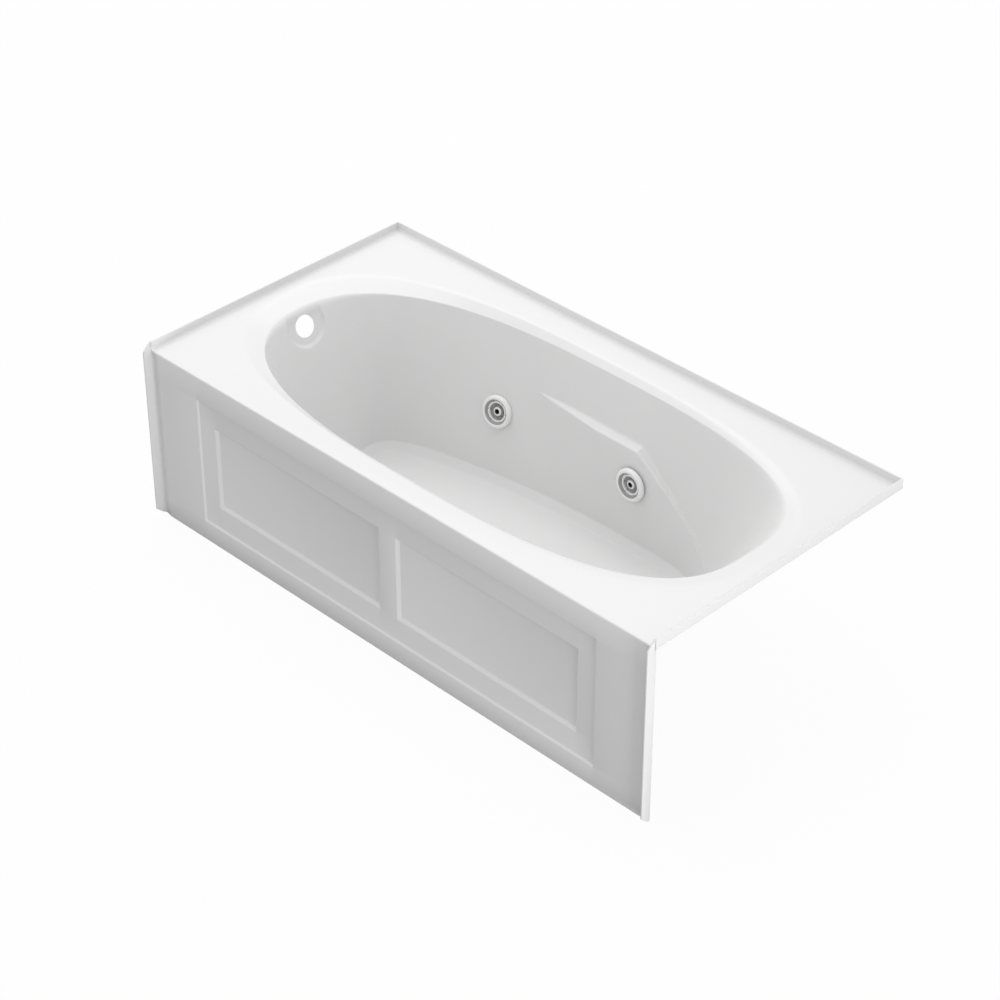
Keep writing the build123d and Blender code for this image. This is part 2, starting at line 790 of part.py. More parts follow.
with BuildPart() as pump_volute:
    with BuildSketch(Plane.XY.offset(neck_length)):
        Circle(volute_radius)
    extrude(amount=volute_back - neck_length)
    fillet(pump_volute.edges().group_by(Axis.Z)[0], 8)
    with BuildSketch(Plane.XY):
        Circle(pump_neck_radius)
    extrude(amount=neck_length + 4)
    with BuildSketch(Plane.YZ):
        with Locations((outlet_offset, outlet_z)):
            Circle(outlet_neck_radius)
    extrude(amount=outlet_height)
    with BuildSketch(Plane.XY.offset(neck_length + 6)):
        Circle(volute_cavity)
    extrude(amount=volute_back - neck_length - 6, mode=Mode.SUBTRACT)
    with BuildSketch(Plane.XY):
        Circle(suction_pipe_radius - 3.5)
    extrude(amount=neck_length + 10, mode=Mode.SUBTRACT)
    with BuildSketch(Plane.YZ.offset(20)):
        with Locations((outlet_offset, outlet_z)):
            Circle(water_pipe_radius - 2.5)
    extrude(amount=outlet_height, mode=Mode.SUBTRACT)
    with BuildSketch(Plane.XY.offset(volute_back)):
        with PolarLocations(bolt_circle, 6, start_angle=30):
            Circle(2.6)
    extrude(amount=-12, mode=Mode.SUBTRACT)
save(on_pump(pump_volute), "pump_volute")

seal_bore = 16.0
with BuildPart() as seal_plate:
    with BuildSketch(Plane.XY.offset(volute_back)):
        Circle(volute_radius)
        Circle(seal_bore, mode=Mode.SUBTRACT)
        with PolarLocations(bolt_circle, 6, start_angle=30):
            Circle(3.1, mode=Mode.SUBTRACT)
    extrude(amount=plate_back - volute_back)
save(on_pump(seal_plate), "seal_plate")

with BuildPart() as pump_bolts:
    with BuildSketch(Plane.XY.offset(plate_back)):
        with PolarLocations(bolt_circle, 6, start_angle=30):
            RegularPolygon(4.2, 6)
    extrude(amount=4)
    with BuildSketch(Plane.XY.offset(plate_back)):
        with PolarLocations(bolt_circle, 6, start_angle=30):
            Circle(2.5)
    extrude(amount=-(plate_back - volute_back + 10))
save(on_pump(pump_bolts), "pump_bolts")

with BuildPart() as shaft_seal:
    with BuildSketch(Plane.XY.offset(volute_back)):
        Circle(seal_bore - 0.1)
        Circle(shaft_radius + running_gap, mode=Mode.SUBTRACT)
    extrude(amount=plate_back - volute_back)
save(on_pump(shaft_seal), "shaft_seal")

# closed impeller: back disc, hub and swept blades
impeller_front = neck_length + 10
impeller_back = volute_back - 8
with BuildPart() as impeller:
    with BuildSketch(Plane.XY.offset(impeller_back)):
        Circle(impeller_radius)
    extrude(amount=-4)
    with BuildSketch(Plane.XY.offset(impeller_back)):
        Circle(15)
    extrude(amount=-(impeller_back - impeller_front - 4))
    with BuildSketch(Plane.XY.offset(impeller_back - 4)):
        with PolarLocations(0, 6):
            with BuildLine():
                blade = ThreePointArc((13, 0), (36, 12), (impeller_radius - 2, -4))
                blade_back = ThreePointArc(blade @ 1, (35, 15.5), (12, 3.4))
                Line(blade_back @ 1, blade @ 0)
            make_face()
    extrude(amount=-(impeller_back - impeller_front - 8))
    with BuildSketch(Plane.XY):
        Circle(shaft_radius + 0.02)
    extrude(amount=200, mode=Mode.SUBTRACT)
save(on_pump(impeller), "impeller")

bearing_radius = 17.5
bearing_width = 11.0
front_bearing = plate_back + 6
rear_bearing = housing_back + 2
with BuildPart() as motor_front_bell:
    with BuildSketch(Plane.XY.offset(plate_back)):
        Circle(motor_radius)
    extrude(amount=bell_back - plate_back)
    with BuildSketch(Plane.XY.offset(front_bearing)):
        Circle(bearing_radius + 0.05)
    extrude(amount=40, mode=Mode.SUBTRACT)
    with BuildSketch(Plane.XY.offset(front_bearing + bearing_width)):
        Circle(motor_radius - 8)
    extrude(amount=40, mode=Mode.SUBTRACT)
    with BuildSketch(Plane.XY):
        Circle(shaft_radius + 1)
    extrude(amount=200, mode=Mode.SUBTRACT)
save(on_pump(motor_front_bell), "motor_front_bell")

housing_wall = 3.5
fin_height = 4.0
with BuildPart() as motor_housing:
    with BuildSketch(Plane.XY.offset(bell_back)):
        Circle(motor_radius - fin_height)
        with PolarLocations(motor_radius - fin_height, 24, start_angle=7.5):
            Rectangle(2 * fin_height, 3)
        Circle(motor_radius - fin_height - housing_wall, mode=Mode.SUBTRACT)
    extrude(amount=housing_back - bell_back)
save(on_pump(motor_housing), "motor_housing")

with BuildPart() as motor_rear_bell:
    with BuildSketch(Plane.XY.offset(housing_back)):
        Circle(motor_radius)
    extrude(amount=rear_bell_back - housing_back)
    with BuildSketch(Plane.XY.offset(rear_bearing)):
        Circle(bearing_radius + 0.05)
    extrude(amount=bearing_width, mode=Mode.SUBTRACT)
    with BuildSketch(Plane.XY):
        Circle(shaft_radius + 1)
    extrude(amount=400, mode=Mode.SUBTRACT)
    with BuildSketch(Plane.XY.offset(housing_back)):
        Circle(bearing_radius + 0.05)
    extrude(amount=3, mode=Mode.SUBTRACT)
save(on_pump(motor_rear_bell), "motor_rear_bell")

with BuildPart() as motor_bearings:
    for start in (front_bearing, rear_bearing):
        with BuildSketch(Plane.XY.offset(start)):
            Circle(bearing_radius)
            Circle(shaft_radius + running_gap, mode=Mode.SUBTRACT)
        extrude(amount=bearing_width)
save(on_pump(motor_bearings), "motor_bearings")

stator_bore = 38.0
stator_front = bell_back + 10
stator_back = housing_back - 10
with BuildPart() as stator:
    with BuildSketch(Plane.XY.offset(stator_front)):
        Circle(motor_radius - fin_height - housing_wall - 0.05)
        Circle(stator_bore, mode=Mode.SUBTRACT)
        with PolarLocations(stator_bore, 12):
            SlotOverall(22, 7, mode=Mode.SUBTRACT)
    extrude(amount=stator_back - stator_front)
save(on_pump(stator), "stator")

with BuildPart() as rotor_core:
    with BuildSketch(Plane.XY.offset(stator_front + 4)):
        Circle(stator_bore - 0.5)
        Circle(shaft_radius + 0.02, mode=Mode.SUBTRACT)
    extrude(amount=stator_back - stator_front - 8)
save(on_pump(rotor_core), "rotor_core")

with BuildPart() as pump_shaft:
    with BuildSketch(Plane.XY.offset(impeller_front + 6)):
        Circle(shaft_radius)
    extrude(amount=fan_cover_back - 14 - impeller_front - 6)
    chamfer(pump_shaft.edges(), 0.8)
save(on_pump(pump_shaft), "pump_shaft")

fan_front = rear_bell_back + 4
fan_width = 18.0
with BuildPart() as cooling_fan:
    with BuildSketch(Plane.XY.offset(fan_front)):
        Circle(56)
    extrude(amount=2.5)
    with BuildSketch(Plane.XY.offset(fan_front)):
        Circle(14)
        with PolarLocations(34, 7):
            Rectangle(42, 2.5)
    extrude(amount=fan_width)
    with BuildSketch(Plane.XY):
        Circle(shaft_radius + 0.02)
    extrude(amount=400, mode=Mode.SUBTRACT)
save(on_pump(cooling_fan), "cooling_fan")

with BuildPart() as fan_cover:
    with BuildSketch(Plane.XY.offset(rear_bell_back)):
        Circle(motor_radius)
    extrude(amount=fan_cover_back - rear_bell_back)
    fillet(fan_cover.edges().group_by(Axis.Z)[-1], 8)
    with BuildSketch(Plane.XY.offset(rear_bell_back)):
        Circle(motor_radius - 2.5)
    extrude(amount=fan_cover_back - rear_bell_back - 3, mode=Mode.SUBTRACT)
    with BuildSketch(Plane.XY.offset(fan_cover_back)):
        with PolarLocations(36, 16):
            SlotOverall(30, 5)
    extrude(amount=-10, mode=Mode.SUBTRACT)
save(on_pump(fan_cover), "fan_cover")

box_start = 140.0
box_length = 80.0
box_half = 32.0
box_top = motor_radius + 34
with BuildPart() as terminal_box:
    with BuildSketch(Plane.XY.offset(box_start)):
        with Locations(((motor_radius - 22 + box_top) / 2, 0)):
            Rectangle(box_top - motor_radius + 22, 2 * box_half)
    extrude(amount=box_length)
    fillet(terminal_box.edges().filter_by(Axis.X), 6)
    with BuildSketch(Plane.XY):
        Circle(motor_radius + seat)
    extrude(amount=400, mode=Mode.SUBTRACT)
    with BuildSketch(Plane.YZ.offset(box_top)):
        with Locations((0, box_start + box_length / 2)):
            Rectangle(2 * box_half - 6, box_length - 6)
    extrude(amount=-(box_top - motor_radius - 6), mode=Mode.SUBTRACT)
    with BuildSketch(Plane.XY.offset(box_start + box_length + 1)):
        with Locations((motor_radius + 20, 0)):
            Circle(8)
    extrude(amount=-10, mode=Mode.SUBTRACT)
save(on_pump(terminal_box), "terminal_box")

with BuildPart() as terminal_box_cover:
    with BuildSketch(Plane.YZ.offset(box_top)):
        with Locations((0, box_start + box_length / 2)):
            RectangleRounded(2 * box_half + 2, box_length + 2, 6)
    extrude(amount=3)
save(on_pump(terminal_box_cover), "terminal_box_cover")

with BuildPart() as cable_gland:
    with BuildSketch(Plane.XY.offset(box_start + box_length - 6)):
        with Locations((motor_radius + 20, 0)):
            Circle(7.8)
    extrude(amount=6)
    with BuildSketch(Plane.XY.offset(box_start + box_length)):
        with Locations((motor_radius + 20, 0)):
            RegularPolygon(11, 6)
    extrude(amount=8)
    with BuildSketch(Plane.XY.offset(box_start + box_length + 8)):
        with Locations((motor_radius + 20, 0)):
            Circle(9)
    extrude(amount=8, taper=10)
    with BuildSketch(Plane.XY.offset(box_start)):
        with Locations((motor_radius + 20, 0)):
            Circle(5)
    extrude(amount=120, mode=Mode.SUBTRACT)
save(on_pump(cable_gland), "cable_gland")

# saddle under the motor, on rubber pads on the shelf
saddle_start = 120.0
saddle_length = 100.0
with BuildPart() as pump_saddle:
    with BuildSketch(Plane.YZ.offset(-pump_foot_height)):
        with Locations((0, saddle_start + saddle_length / 2)):
            RectangleRounded(140, saddle_length, 10)
    extrude(amount=5)
    with BuildSketch(Plane.YZ.offset(-pump_foot_height)):
        with Locations((0, saddle_start + saddle_length / 2)):
            with GridLocations(0, saddle_length - 30, 1, 2):
                Rectangle(90, 12)
    extrude(amount=50)
    with BuildSketch(Plane.XY):
        Circle(motor_radius + seat)
    extrude(amount=400, mode=Mode.SUBTRACT)
    with BuildSketch(Plane.YZ.offset(-pump_foot_height)):
        with Locations((0, saddle_start + saddle_length / 2)):
            with GridLocations(116, saddle_length - 24, 2, 2):
                Circle(3.3)
    extrude(amount=10, mode=Mode.SUBTRACT)
save(on_pump(pump_saddle), "pump_saddle")

with BuildPart() as pump_pads:
    with BuildSketch(Plane.YZ.offset(-pump_foot_height)):
        with Locations((0, saddle_start + saddle_length / 2)):
            with GridLocations(116, saddle_length - 24, 2, 2):
                Circle(11)
                Circle(3.3, mode=Mode.SUBTRACT)
    extrude(amount=-6)
save(on_pump(pump_pads), "pump_pads")

with BuildPart() as saddle_screws:
    with BuildSketch(Plane.YZ.offset(-pump_foot_height + 5)):
        with Locations((0, saddle_start + saddle_length / 2)):
            with GridLocations(116, saddle_length - 24, 2, 2):
                RegularPolygon(5.5, 6)
    extrude(amount=4)
    with BuildSketch(Plane.YZ.offset(-pump_foot_height + 5)):
        with Locations((0, saddle_start + saddle_length / 2)):
            with GridLocations(116, saddle_length - 24, 2, 2):
                Circle(3)
    extrude(amount=-11)
save(on_pump(saddle_screws), "saddle_screws")

# pipework, named by what each pipe feeds
tee_x = inlet_x - outlet_z
tee_y = pump_y + outlet_offset
tee_z = pump_z + 132
tee_reach = 36.0
tee_wall = 4.0
pipe_insert = 15.0
water_pipe_wall = 2.5
pipe_bend = 45.0
straight = 60.0  # straight run of a pipe outside its socket
cross_x = 50 - end_x  # the pipe across the drain end
nut_lip = 4.0


def spot(plane, x, y=0.0):
    return plane.from_local_coords((x, y, -jet_port_depth))


def pipe(points, bend, radius, bore):
    with BuildPart() as form:
        with BuildLine() as path:
            FilletPolyline(*points, radius=bend)
        with BuildSketch(Plane(origin=path.line @ 0, z_dir=path.line % 0)):
            Circle(radius)
            Circle(bore, mode=Mode.SUBTRACT)
        sweep(path=path.line)
    return form.part


def water_pipe(*points):
    return pipe(points, pipe_bend, water_pipe_radius, water_pipe_radius - water_pipe_wall)


front_drain, front_back, rear_drain, rear_back = jet_places

# tee above the pump, with the union tail in one piece
tail_bottom = pump_z + outlet_height + seat
with BuildPart() as pressure_tee:
    with Locations((tee_x, tee_y, tee_z)):
        Cylinder(water_pipe_radius + tee_wall, 2 * tee_reach, rotation=(0, 90, 0))
    with BuildSketch(Plane.XY.offset(tail_bottom)):
        with Locations((tee_x, tee_y)):
            Circle(water_pipe_radius)
    extrude(amount=tee_z - tail_bottom)
    with BuildSketch(Plane.XY.offset(tail_bottom)):
        with Locations((tee_x, tee_y)):
            Circle(outlet_neck_radius - 1)
    extrude(amount=nut_lip)
    with Locations((tee_x, tee_y, tee_z)):
        Cylinder(water_pipe_radius - water_pipe_wall, 2 * tee_reach, rotation=(0, 90, 0), mode=Mode.SUBTRACT)
    with BuildSketch(Plane.XY.offset(tail_bottom)):
        with Locations((tee_x, tee_y)):
            Circle(water_pipe_radius - water_pipe_wall)
    extrude(amount=tee_z - tail_bottom, mode=Mode.SUBTRACT)
    for direction in (-1, 1):
        with BuildSketch(Plane.YZ.offset(tee_x + direction * tee_reach)):
            with Locations((tee_y, tee_z)):
                Circle(water_port)
        extrude(amount=-direction * socket_depth, mode=Mode.SUBTRACT)
save(pressure_tee.part, "pressure_tee")

with BuildPart() as discharge_union_nut:
    nut_top = tail_bottom + 2 * nut_lip + seat
    with BuildSketch(Plane.XY.offset(nut_top)):
        with Locations((tee_x, tee_y)):
            RegularPolygon(outlet_neck_radius + 7, 8)
    extrude(amount=-14)
    with BuildSketch(Plane.XY.offset(nut_top - nut_lip)):
        with Locations((tee_x, tee_y)):
            Circle(outlet_neck_radius + wall_slack)
    extrude(amount=-22, mode=Mode.SUBTRACT)
    with BuildSketch(Plane.XY.offset(nut_top)):
        with Locations((tee_x, tee_y)):
            Circle(water_pipe_radius + wall_slack)
    extrude(amount=-22, mode=Mode.SUBTRACT)
save(discharge_union_nut.part, "discharge_union_nut")

front_supply = water_pipe(
    (tee_x + tee_reach - pipe_insert, tee_y, tee_z),
    (tee_x + tee_reach + straight, tee_y, tee_z),
    spot(front_drain, socket_reach + straight),
    spot(front_drain, socket_reach - pipe_insert),
)
save(front_supply, "front_supply_pipe")
rear_turn = spot(rear_drain, -socket_reach - straight)
rear_supply = water_pipe(
    (tee_x - tee_reach + pipe_insert, tee_y, tee_z),
    (cross_x, tee_y, tee_z),
    (cross_x, rear_turn.Y, tee_z),
    rear_turn,
    spot(rear_drain, -socket_reach + pipe_insert),
)
save(rear_supply, "rear_supply_pipe")

link_pipes = []
for start_jet, end_jet in ((front_back, front_drain), (rear_drain, rear_back)):
    link_pipes.append(
        water_pipe(
            spot(start_jet, socket_reach - pipe_insert),
            spot(start_jet, socket_reach + straight),
            spot(end_jet, -socket_reach - straight),
            spot(end_jet, -socket_reach + pipe_insert),
        )
    )
save(Part(children=link_pipes), "jet_link_pipes")

with BuildPart() as port_plug:
    with BuildSketch(Plane.YZ.offset(seat)):
        Circle(water_pipe_radius + tee_wall - 1)
    extrude(amount=4)
    with BuildSketch(Plane.YZ.offset(seat)):
        Circle(water_pipe_radius)
    extrude(amount=-pipe_insert)
    chamfer(port_plug.faces().sort_by(Axis.X)[-1].edges(), 1)
end_plugs = []
for end_jet, turn in ((front_back, 180), (rear_back, 0)):
    socket_end = end_jet.location * Location((0, 0, -jet_port_depth), (0, 0, turn)) * Location((socket_reach, 0, 0))
    end_plugs.append(port_plug.part.moved(socket_end))
save(Part(children=end_plugs), "port_plugs")

# suction pipe from the wall fitting to the pump inlet, with its union nut
flange_back_x = inlet_x + seat
suction_start = suction_place.from_local_coords((suction_socket_reach - pipe_insert, 0, -suction_depth))
suction_turn = suction_place.from_local_coords((suction_socket_reach + 30, 0, -suction_depth))
with BuildPart() as suction_pipe:
    with BuildLine() as suction_path:
        FilletPolyline(
            (flange_back_x, pump_y, pump_z),
            (inlet_x + 70, pump_y, pump_z),
            suction_turn,
            suction_start,
            radius=pipe_bend,
        )
    with BuildSketch(Plane.YZ.offset(flange_back_x)):
        with Locations((pump_y, pump_z)):
            Circle(suction_pipe_radius)
    sweep(path=suction_path.line)
    with BuildSketch(Plane.YZ.offset(flange_back_x)):
        with Locations((pump_y, pump_z)):
            Circle(pump_neck_radius - 1)
    extrude(amount=nut_lip)
    with BuildSketch(Plane.YZ.offset(flange_back_x)):
        with Locations((pump_y, pump_z)):
            Circle(suction_pipe_radius - 3)
    sweep(path=suction_path.line, mode=Mode.SUBTRACT)
save(suction_pipe.part, "suction_pipe")

with BuildPart() as suction_union_nut:
    nut_face = flange_back_x + 2 * nut_lip + seat
    with BuildSketch(Plane.YZ.offset(nut_face)):
        with Locations((pump_y, pump_z)):
            RegularPolygon(pump_neck_radius + 8, 8)
    extrude(amount=-26)
    with BuildSketch(Plane.YZ.offset(nut_face - nut_lip)):
        with Locations((pump_y, pump_z)):
            Circle(pump_neck_radius + wall_slack)
    extrude(amount=-26, mode=Mode.SUBTRACT)
    with BuildSketch(Plane.YZ.offset(nut_face)):
        with Locations((pump_y, pump_z)):
            Circle(suction_pipe_radius + wall_slack)
    extrude(amount=-26, mode=Mode.SUBTRACT)
save(suction_union_nut.part, "suction_union_nut")

# air line over the jets and round the drain end
air_cross_x = cross_x + 20
air_z = spot(front_drain, 0, air_pipe_offset).Z
air_bore = air_pipe_radius - 2
silencer_y = 240.0
silencer_bottom = 350.0
silencer_top = 452.0
silencer_radius = 25.0
spigot_radius = 9.0
air_line = [
    spot(front_back, straight, air_pipe_offset),
    spot(front_drain, -straight, air_pipe_offset),
    spot(front_drain, straight, air_pipe_offset),
    Vector(air_cross_x, spot(front_drain, straight, air_pipe_offset).Y, air_z),
    Vector(air_cross_x, spot(rear_drain, -straight, air_pipe_offset).Y, air_z),
    spot(rear_drain, -straight, air_pipe_offset),
    spot(rear_drain, straight, air_pipe_offset),
    spot(rear_back, -straight, air_pipe_offset),
]
air_end = 30.0
air_cap = 3.0
stub_low = 54.0
with BuildPart() as air_manifold:
    with BuildLine() as air_path:
        first = spot(front_back, -air_end, air_pipe_offset)
        FilletPolyline(first, *air_line, spot(rear_back, air_end, air_pipe_offset), radius=air_end)
    with BuildSketch(Plane(origin=air_path.line @ 0, z_dir=air_path.line % 0)):
        Circle(air_pipe_radius)
    sweep(path=air_path.line)
    for jet_place in jet_places:
        with BuildSketch(Plane(origin=spot(jet_place, 0, stub_low), z_dir=jet_place.y_dir)):
            Circle(air_barb_radius)
        extrude(amount=air_pipe_offset - stub_low)
    with BuildSketch(Plane.XY.offset(air_z)):
        with Locations((air_cross_x, silencer_y)):
            Circle(spigot_radius)
    extrude(amount=silencer_bottom + 12 - air_z)
    with BuildLine() as bore_path:
        first = spot(front_back, air_cap - air_end, air_pipe_offset)
        FilletPolyline(first, *air_line, spot(rear_back, air_end - air_cap, air_pipe_offset), radius=air_end)
    with BuildSketch(Plane(origin=bore_path.line @ 0, z_dir=bore_path.line % 0)):
        Circle(air_bore)
    sweep(path=bore_path.line, mode=Mode.SUBTRACT)
save(air_manifold.part, "air_manifold")

with BuildPart() as air_hose:
    with BuildSketch(Plane.XZ.offset(-31)):
        with Locations((0, -jet_port_depth)):
            Circle(air_barb_radius + 2.5)
            Circle(air_barb_radius + 0.05, mode=Mode.SUBTRACT)
    extrude(amount=-(air_pipe_offset - air_pipe_radius - seat - 31))
save(Part(children=[place(air_hose, p) for p in jet_places]), "air_hoses")

with BuildPart() as air_silencer:
    with BuildSketch(Plane.XY.offset(silencer_bottom)):
        with Locations((air_cross_x, silencer_y)):
            Circle(spigot_radius + 4)
    extrude(amount=14)
    with BuildSketch(Plane.XY.offset(silencer_bottom + 14)):
        with Locations((air_cross_x, silencer_y)):
            Circle(silencer_radius)
    extrude(amount=silencer_top - silencer_bottom - 14)
    fillet(air_silencer.edges().group_by(Axis.Z)[-1], 5)
    with BuildSketch(Plane.XY.offset(silencer_bottom + 14)):
        with Locations((air_cross_x, silencer_y)):
            with PolarLocations(silencer_radius, 10):
                Rectangle(5, 4)
    extrude(amount=silencer_top - silencer_bottom - 30, mode=Mode.SUBTRACT)
    with BuildSketch(Plane.XY.offset(silencer_bottom)):
        with Locations((air_cross_x, silencer_y)):
            Circle(spigot_radius + 0.05)
    extrude(amount=16, mode=Mode.SUBTRACT)
save(air_silencer.part, "air_silencer")
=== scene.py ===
import bpy
import bmesh
import json
from math import cos, pi, radians, sin, sqrt, tan
from mathutils import Matrix, Vector


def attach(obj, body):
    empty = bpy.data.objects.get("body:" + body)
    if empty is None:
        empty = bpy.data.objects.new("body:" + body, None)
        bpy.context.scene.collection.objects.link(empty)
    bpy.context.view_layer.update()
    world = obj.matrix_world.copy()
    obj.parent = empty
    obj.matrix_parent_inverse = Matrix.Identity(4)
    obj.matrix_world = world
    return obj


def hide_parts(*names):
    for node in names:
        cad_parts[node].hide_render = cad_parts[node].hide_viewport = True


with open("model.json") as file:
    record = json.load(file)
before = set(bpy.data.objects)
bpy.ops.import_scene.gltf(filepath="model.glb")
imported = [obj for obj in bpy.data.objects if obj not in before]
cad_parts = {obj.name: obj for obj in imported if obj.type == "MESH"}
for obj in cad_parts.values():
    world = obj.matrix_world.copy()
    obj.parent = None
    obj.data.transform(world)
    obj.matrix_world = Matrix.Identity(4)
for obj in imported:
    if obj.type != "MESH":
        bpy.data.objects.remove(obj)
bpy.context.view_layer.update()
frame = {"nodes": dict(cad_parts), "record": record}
nodes = frame["nodes"]
mm = 0.001
print("frame loaded:", len(nodes), "nodes")


# helpers shared by the pieces
def newObject(name, mesh, body, slot, material, *replaced):
    piece = bpy.data.objects.new(name, mesh)
    bpy.context.scene.collection.objects.link(piece)
    if material:
        mesh.materials.clear()
        mesh.materials.append(material)
    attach(piece, body)
    if replaced:
        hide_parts(*replaced)
    return piece


def meshFrom(name, points, faces, sharpDegrees=30):
    mesh = bpy.data.meshes.new(name)
    mesh.from_pydata([(x * mm, y * mm, z * mm) for x, y, z in points], [], faces)
    mesh.validate()
    mesh.update()
    bm = bmesh.new()
    bm.from_mesh(mesh)
    bmesh.ops.remove_doubles(bm, verts=bm.verts, dist=1e-6)
    bmesh.ops.recalc_face_normals(bm, faces=bm.faces)
    bm.to_mesh(mesh)
    bm.free()
    smooth(mesh, sharpDegrees)
    return mesh


def smooth(mesh, sharpDegrees):
    mesh.polygons.foreach_set("use_smooth", [True] * len(mesh.polygons))
    mesh.set_sharp_from_angle(angle=radians(sharpDegrees))
    mesh.update()


def applied(piece):
    # the evaluated mesh takes the place of the live one, and the modifiers go
    depsgraph = bpy.context.evaluated_depsgraph_get()
    mesh = bpy.data.meshes.new_from_object(piece.evaluated_get(depsgraph))
    piece.modifiers.clear()
    old = piece.data
    piece.data = mesh
    bpy.data.meshes.remove(old)
    return piece


# materials
def shaderOf(material):
    return next(n for n in material.node_tree.nodes if n.type == "BSDF_PRINCIPLED")


def newMaterial(name, color, roughness, metallic=0.0, coat=0.0, specular=0.5):
    material = bpy.data.materials.new(name)
    material.use_nodes = True
    shader = shaderOf(material)
    shader.inputs["Base Color"].default_value = (*color, 1)
    shader.inputs["Roughness"].default_value = roughness
    shader.inputs["Metallic"].default_value = metallic
    shader.inputs["Coat Weight"].default_value = coat
    shader.inputs["Coat Roughness"].default_value = 0.04
    shader.inputs["Specular IOR Level"].default_value = specular
    return material


def addNoiseBump(material, scale, strength, distance, detail=3.0, stretch=(1, 1, 1)):
    tree = material.node_tree
    place = tree.nodes.new("ShaderNodeTexCoord")
    mapping = tree.nodes.new("ShaderNodeMapping")
    mapping.inputs["Scale"].default_value = stretch
    noise = tree.nodes.new("ShaderNodeTexNoise")
    noise.inputs["Scale"].default_value = scale
    noise.inputs["Detail"].default_value = detail
    bump = tree.nodes.new("ShaderNodeBump")
    bump.inputs["Strength"].default_value = strength
    bump.inputs["Distance"].default_value = distance
    tree.links.new(place.outputs["Object"], mapping.inputs["Vector"])
    tree.links.new(mapping.outputs["Vector"], noise.inputs["Vector"])
    tree.links.new(noise.outputs["Fac"], bump.inputs["Height"])
    tree.links.new(bump.outputs["Normal"], shaderOf(material).inputs["Normal"])
    return noise


def varyColor(material, noise, low, high):
    tree = material.node_tree
    ramp = tree.nodes.new("ShaderNodeValToRGB")
    ramp.color_ramp.elements[0].position = 0.35
    ramp.color_ramp.elements[0].color = (*low, 1)
    ramp.color_ramp.elements[1].position = 0.68
    ramp.color_ramp.elements[1].color = (*high, 1)
    tree.links.new(noise.outputs["Fac"], ramp.inputs["Fac"])
    tree.links.new(ramp.outputs["Color"], shaderOf(material).inputs["Base Color"])


def varyRoughness(material, noise, low, high):
    tree = material.node_tree
    spread = tree.nodes.new("ShaderNodeMapRange")
    spread.inputs["To Min"].default_value = low
    spread.inputs["To Max"].default_value = high
    tree.links.new(noise.outputs["Fac"], spread.inputs["Value"])
    tree.links.new(spread.outputs["Result"], shaderOf(material).inputs["Roughness"])


acrylic = newMaterial("glossWhiteAcrylic", (0.75, 0.75, 0.748), 0.22, specular=0.3)
varyRoughness(acrylic, addNoiseBump(acrylic, 3.5, 0.03, 0.002, 2.0), 0.2, 0.26)
jetWhite = newMaterial("mouldedJetPlastic", (0.86, 0.86, 0.855), 0.26, specular=0.45)
varyRoughness(jetWhite, addNoiseBump(jetWhite, 240, 0.05, 0.0002), 0.22, 0.32)
# painted shade: a darker grey on the jet funnels and the nozzle balls, where the recess lies in shade
jetPaintedShade = newMaterial("jetFunnelPaintedShade", (0.33, 0.33, 0.33), 0.4)
varyRoughness(jetPaintedShade, addNoiseBump(jetPaintedShade, 300, 0.06, 0.0002), 0.3, 0.42)
# painted shadow: near-black on the slot plates and in the nozzle bores, for the dark inside the openings
jetPaintedShadow = newMaterial("jetSlotShadow", (0.05, 0.05, 0.05), 0.6)
addNoiseBump(jetPaintedShadow, 200, 0.1, 0.0002)
pipeWhite = newMaterial("whitePvcPipe", (0.84, 0.84, 0.82), 0.38)
varyColor(pipeWhite, addNoiseBump(pipeWhite, 30, 0.08, 0.0004), (0.81, 0.81, 0.79), (0.87, 0.87, 0.85))
blackPlastic = newMaterial("blackPumpPlastic", (0.035, 0.035, 0.038), 0.5)
varyRoughness(blackPlastic, addNoiseBump(blackPlastic, 700, 0.18, 0.0002), 0.42, 0.6)
rubberBlack = newMaterial("blackRubber", (0.025, 0.025, 0.025), 0.8)
varyRoughness(rubberBlack, addNoiseBump(rubberBlack, 400, 0.15, 0.0002), 0.7, 0.9)
motorPaint = newMaterial("greyMotorPaint", (0.10, 0.105, 0.115), 0.42, coat=0.15)
varyRoughness(motorPaint, addNoiseBump(motorPaint, 160, 0.12, 0.0003), 0.36, 0.5)
castAluminium = newMaterial("castAluminium", (0.62, 0.62, 0.63), 0.45, metallic=1.0)
varyRoughness(castAluminium, addNoiseBump(castAluminium, 500, 0.3, 0.0003), 0.38, 0.55)
brightSteel = newMaterial("zincPlatedSteel", (0.60, 0.60, 0.62), 0.3, metallic=1.0)
varyRoughness(brightSteel, addNoiseBump(brightSteel, 350, 0.1, 0.0001), 0.25, 0.4)
coreSteel = newMaterial("laminatedSteel", (0.36, 0.36, 0.37), 0.4, metallic=1.0)
addNoiseBump(coreSteel, 60, 0.4, 0.0003, 2.0, (30, 1, 1))
resinBoard = newMaterial("resinCoatedBoard", (0.80, 0.78, 0.72), 0.6)
boardGrain = addNoiseBump(resinBoard, 14, 0.35, 0.001, 6.0, (1, 6, 6))
varyColor(resinBoard, boardGrain, (0.74, 0.71, 0.64), (0.84, 0.82, 0.77))
fibreBack = newMaterial("glassFibreBacking", (0.84, 0.84, 0.82), 0.62)
varyColor(fibreBack, addNoiseBump(fibreBack, 70, 0.6, 0.0012, 8.0), (0.79, 0.79, 0.765), (0.87, 0.87, 0.85))
print("materials made")

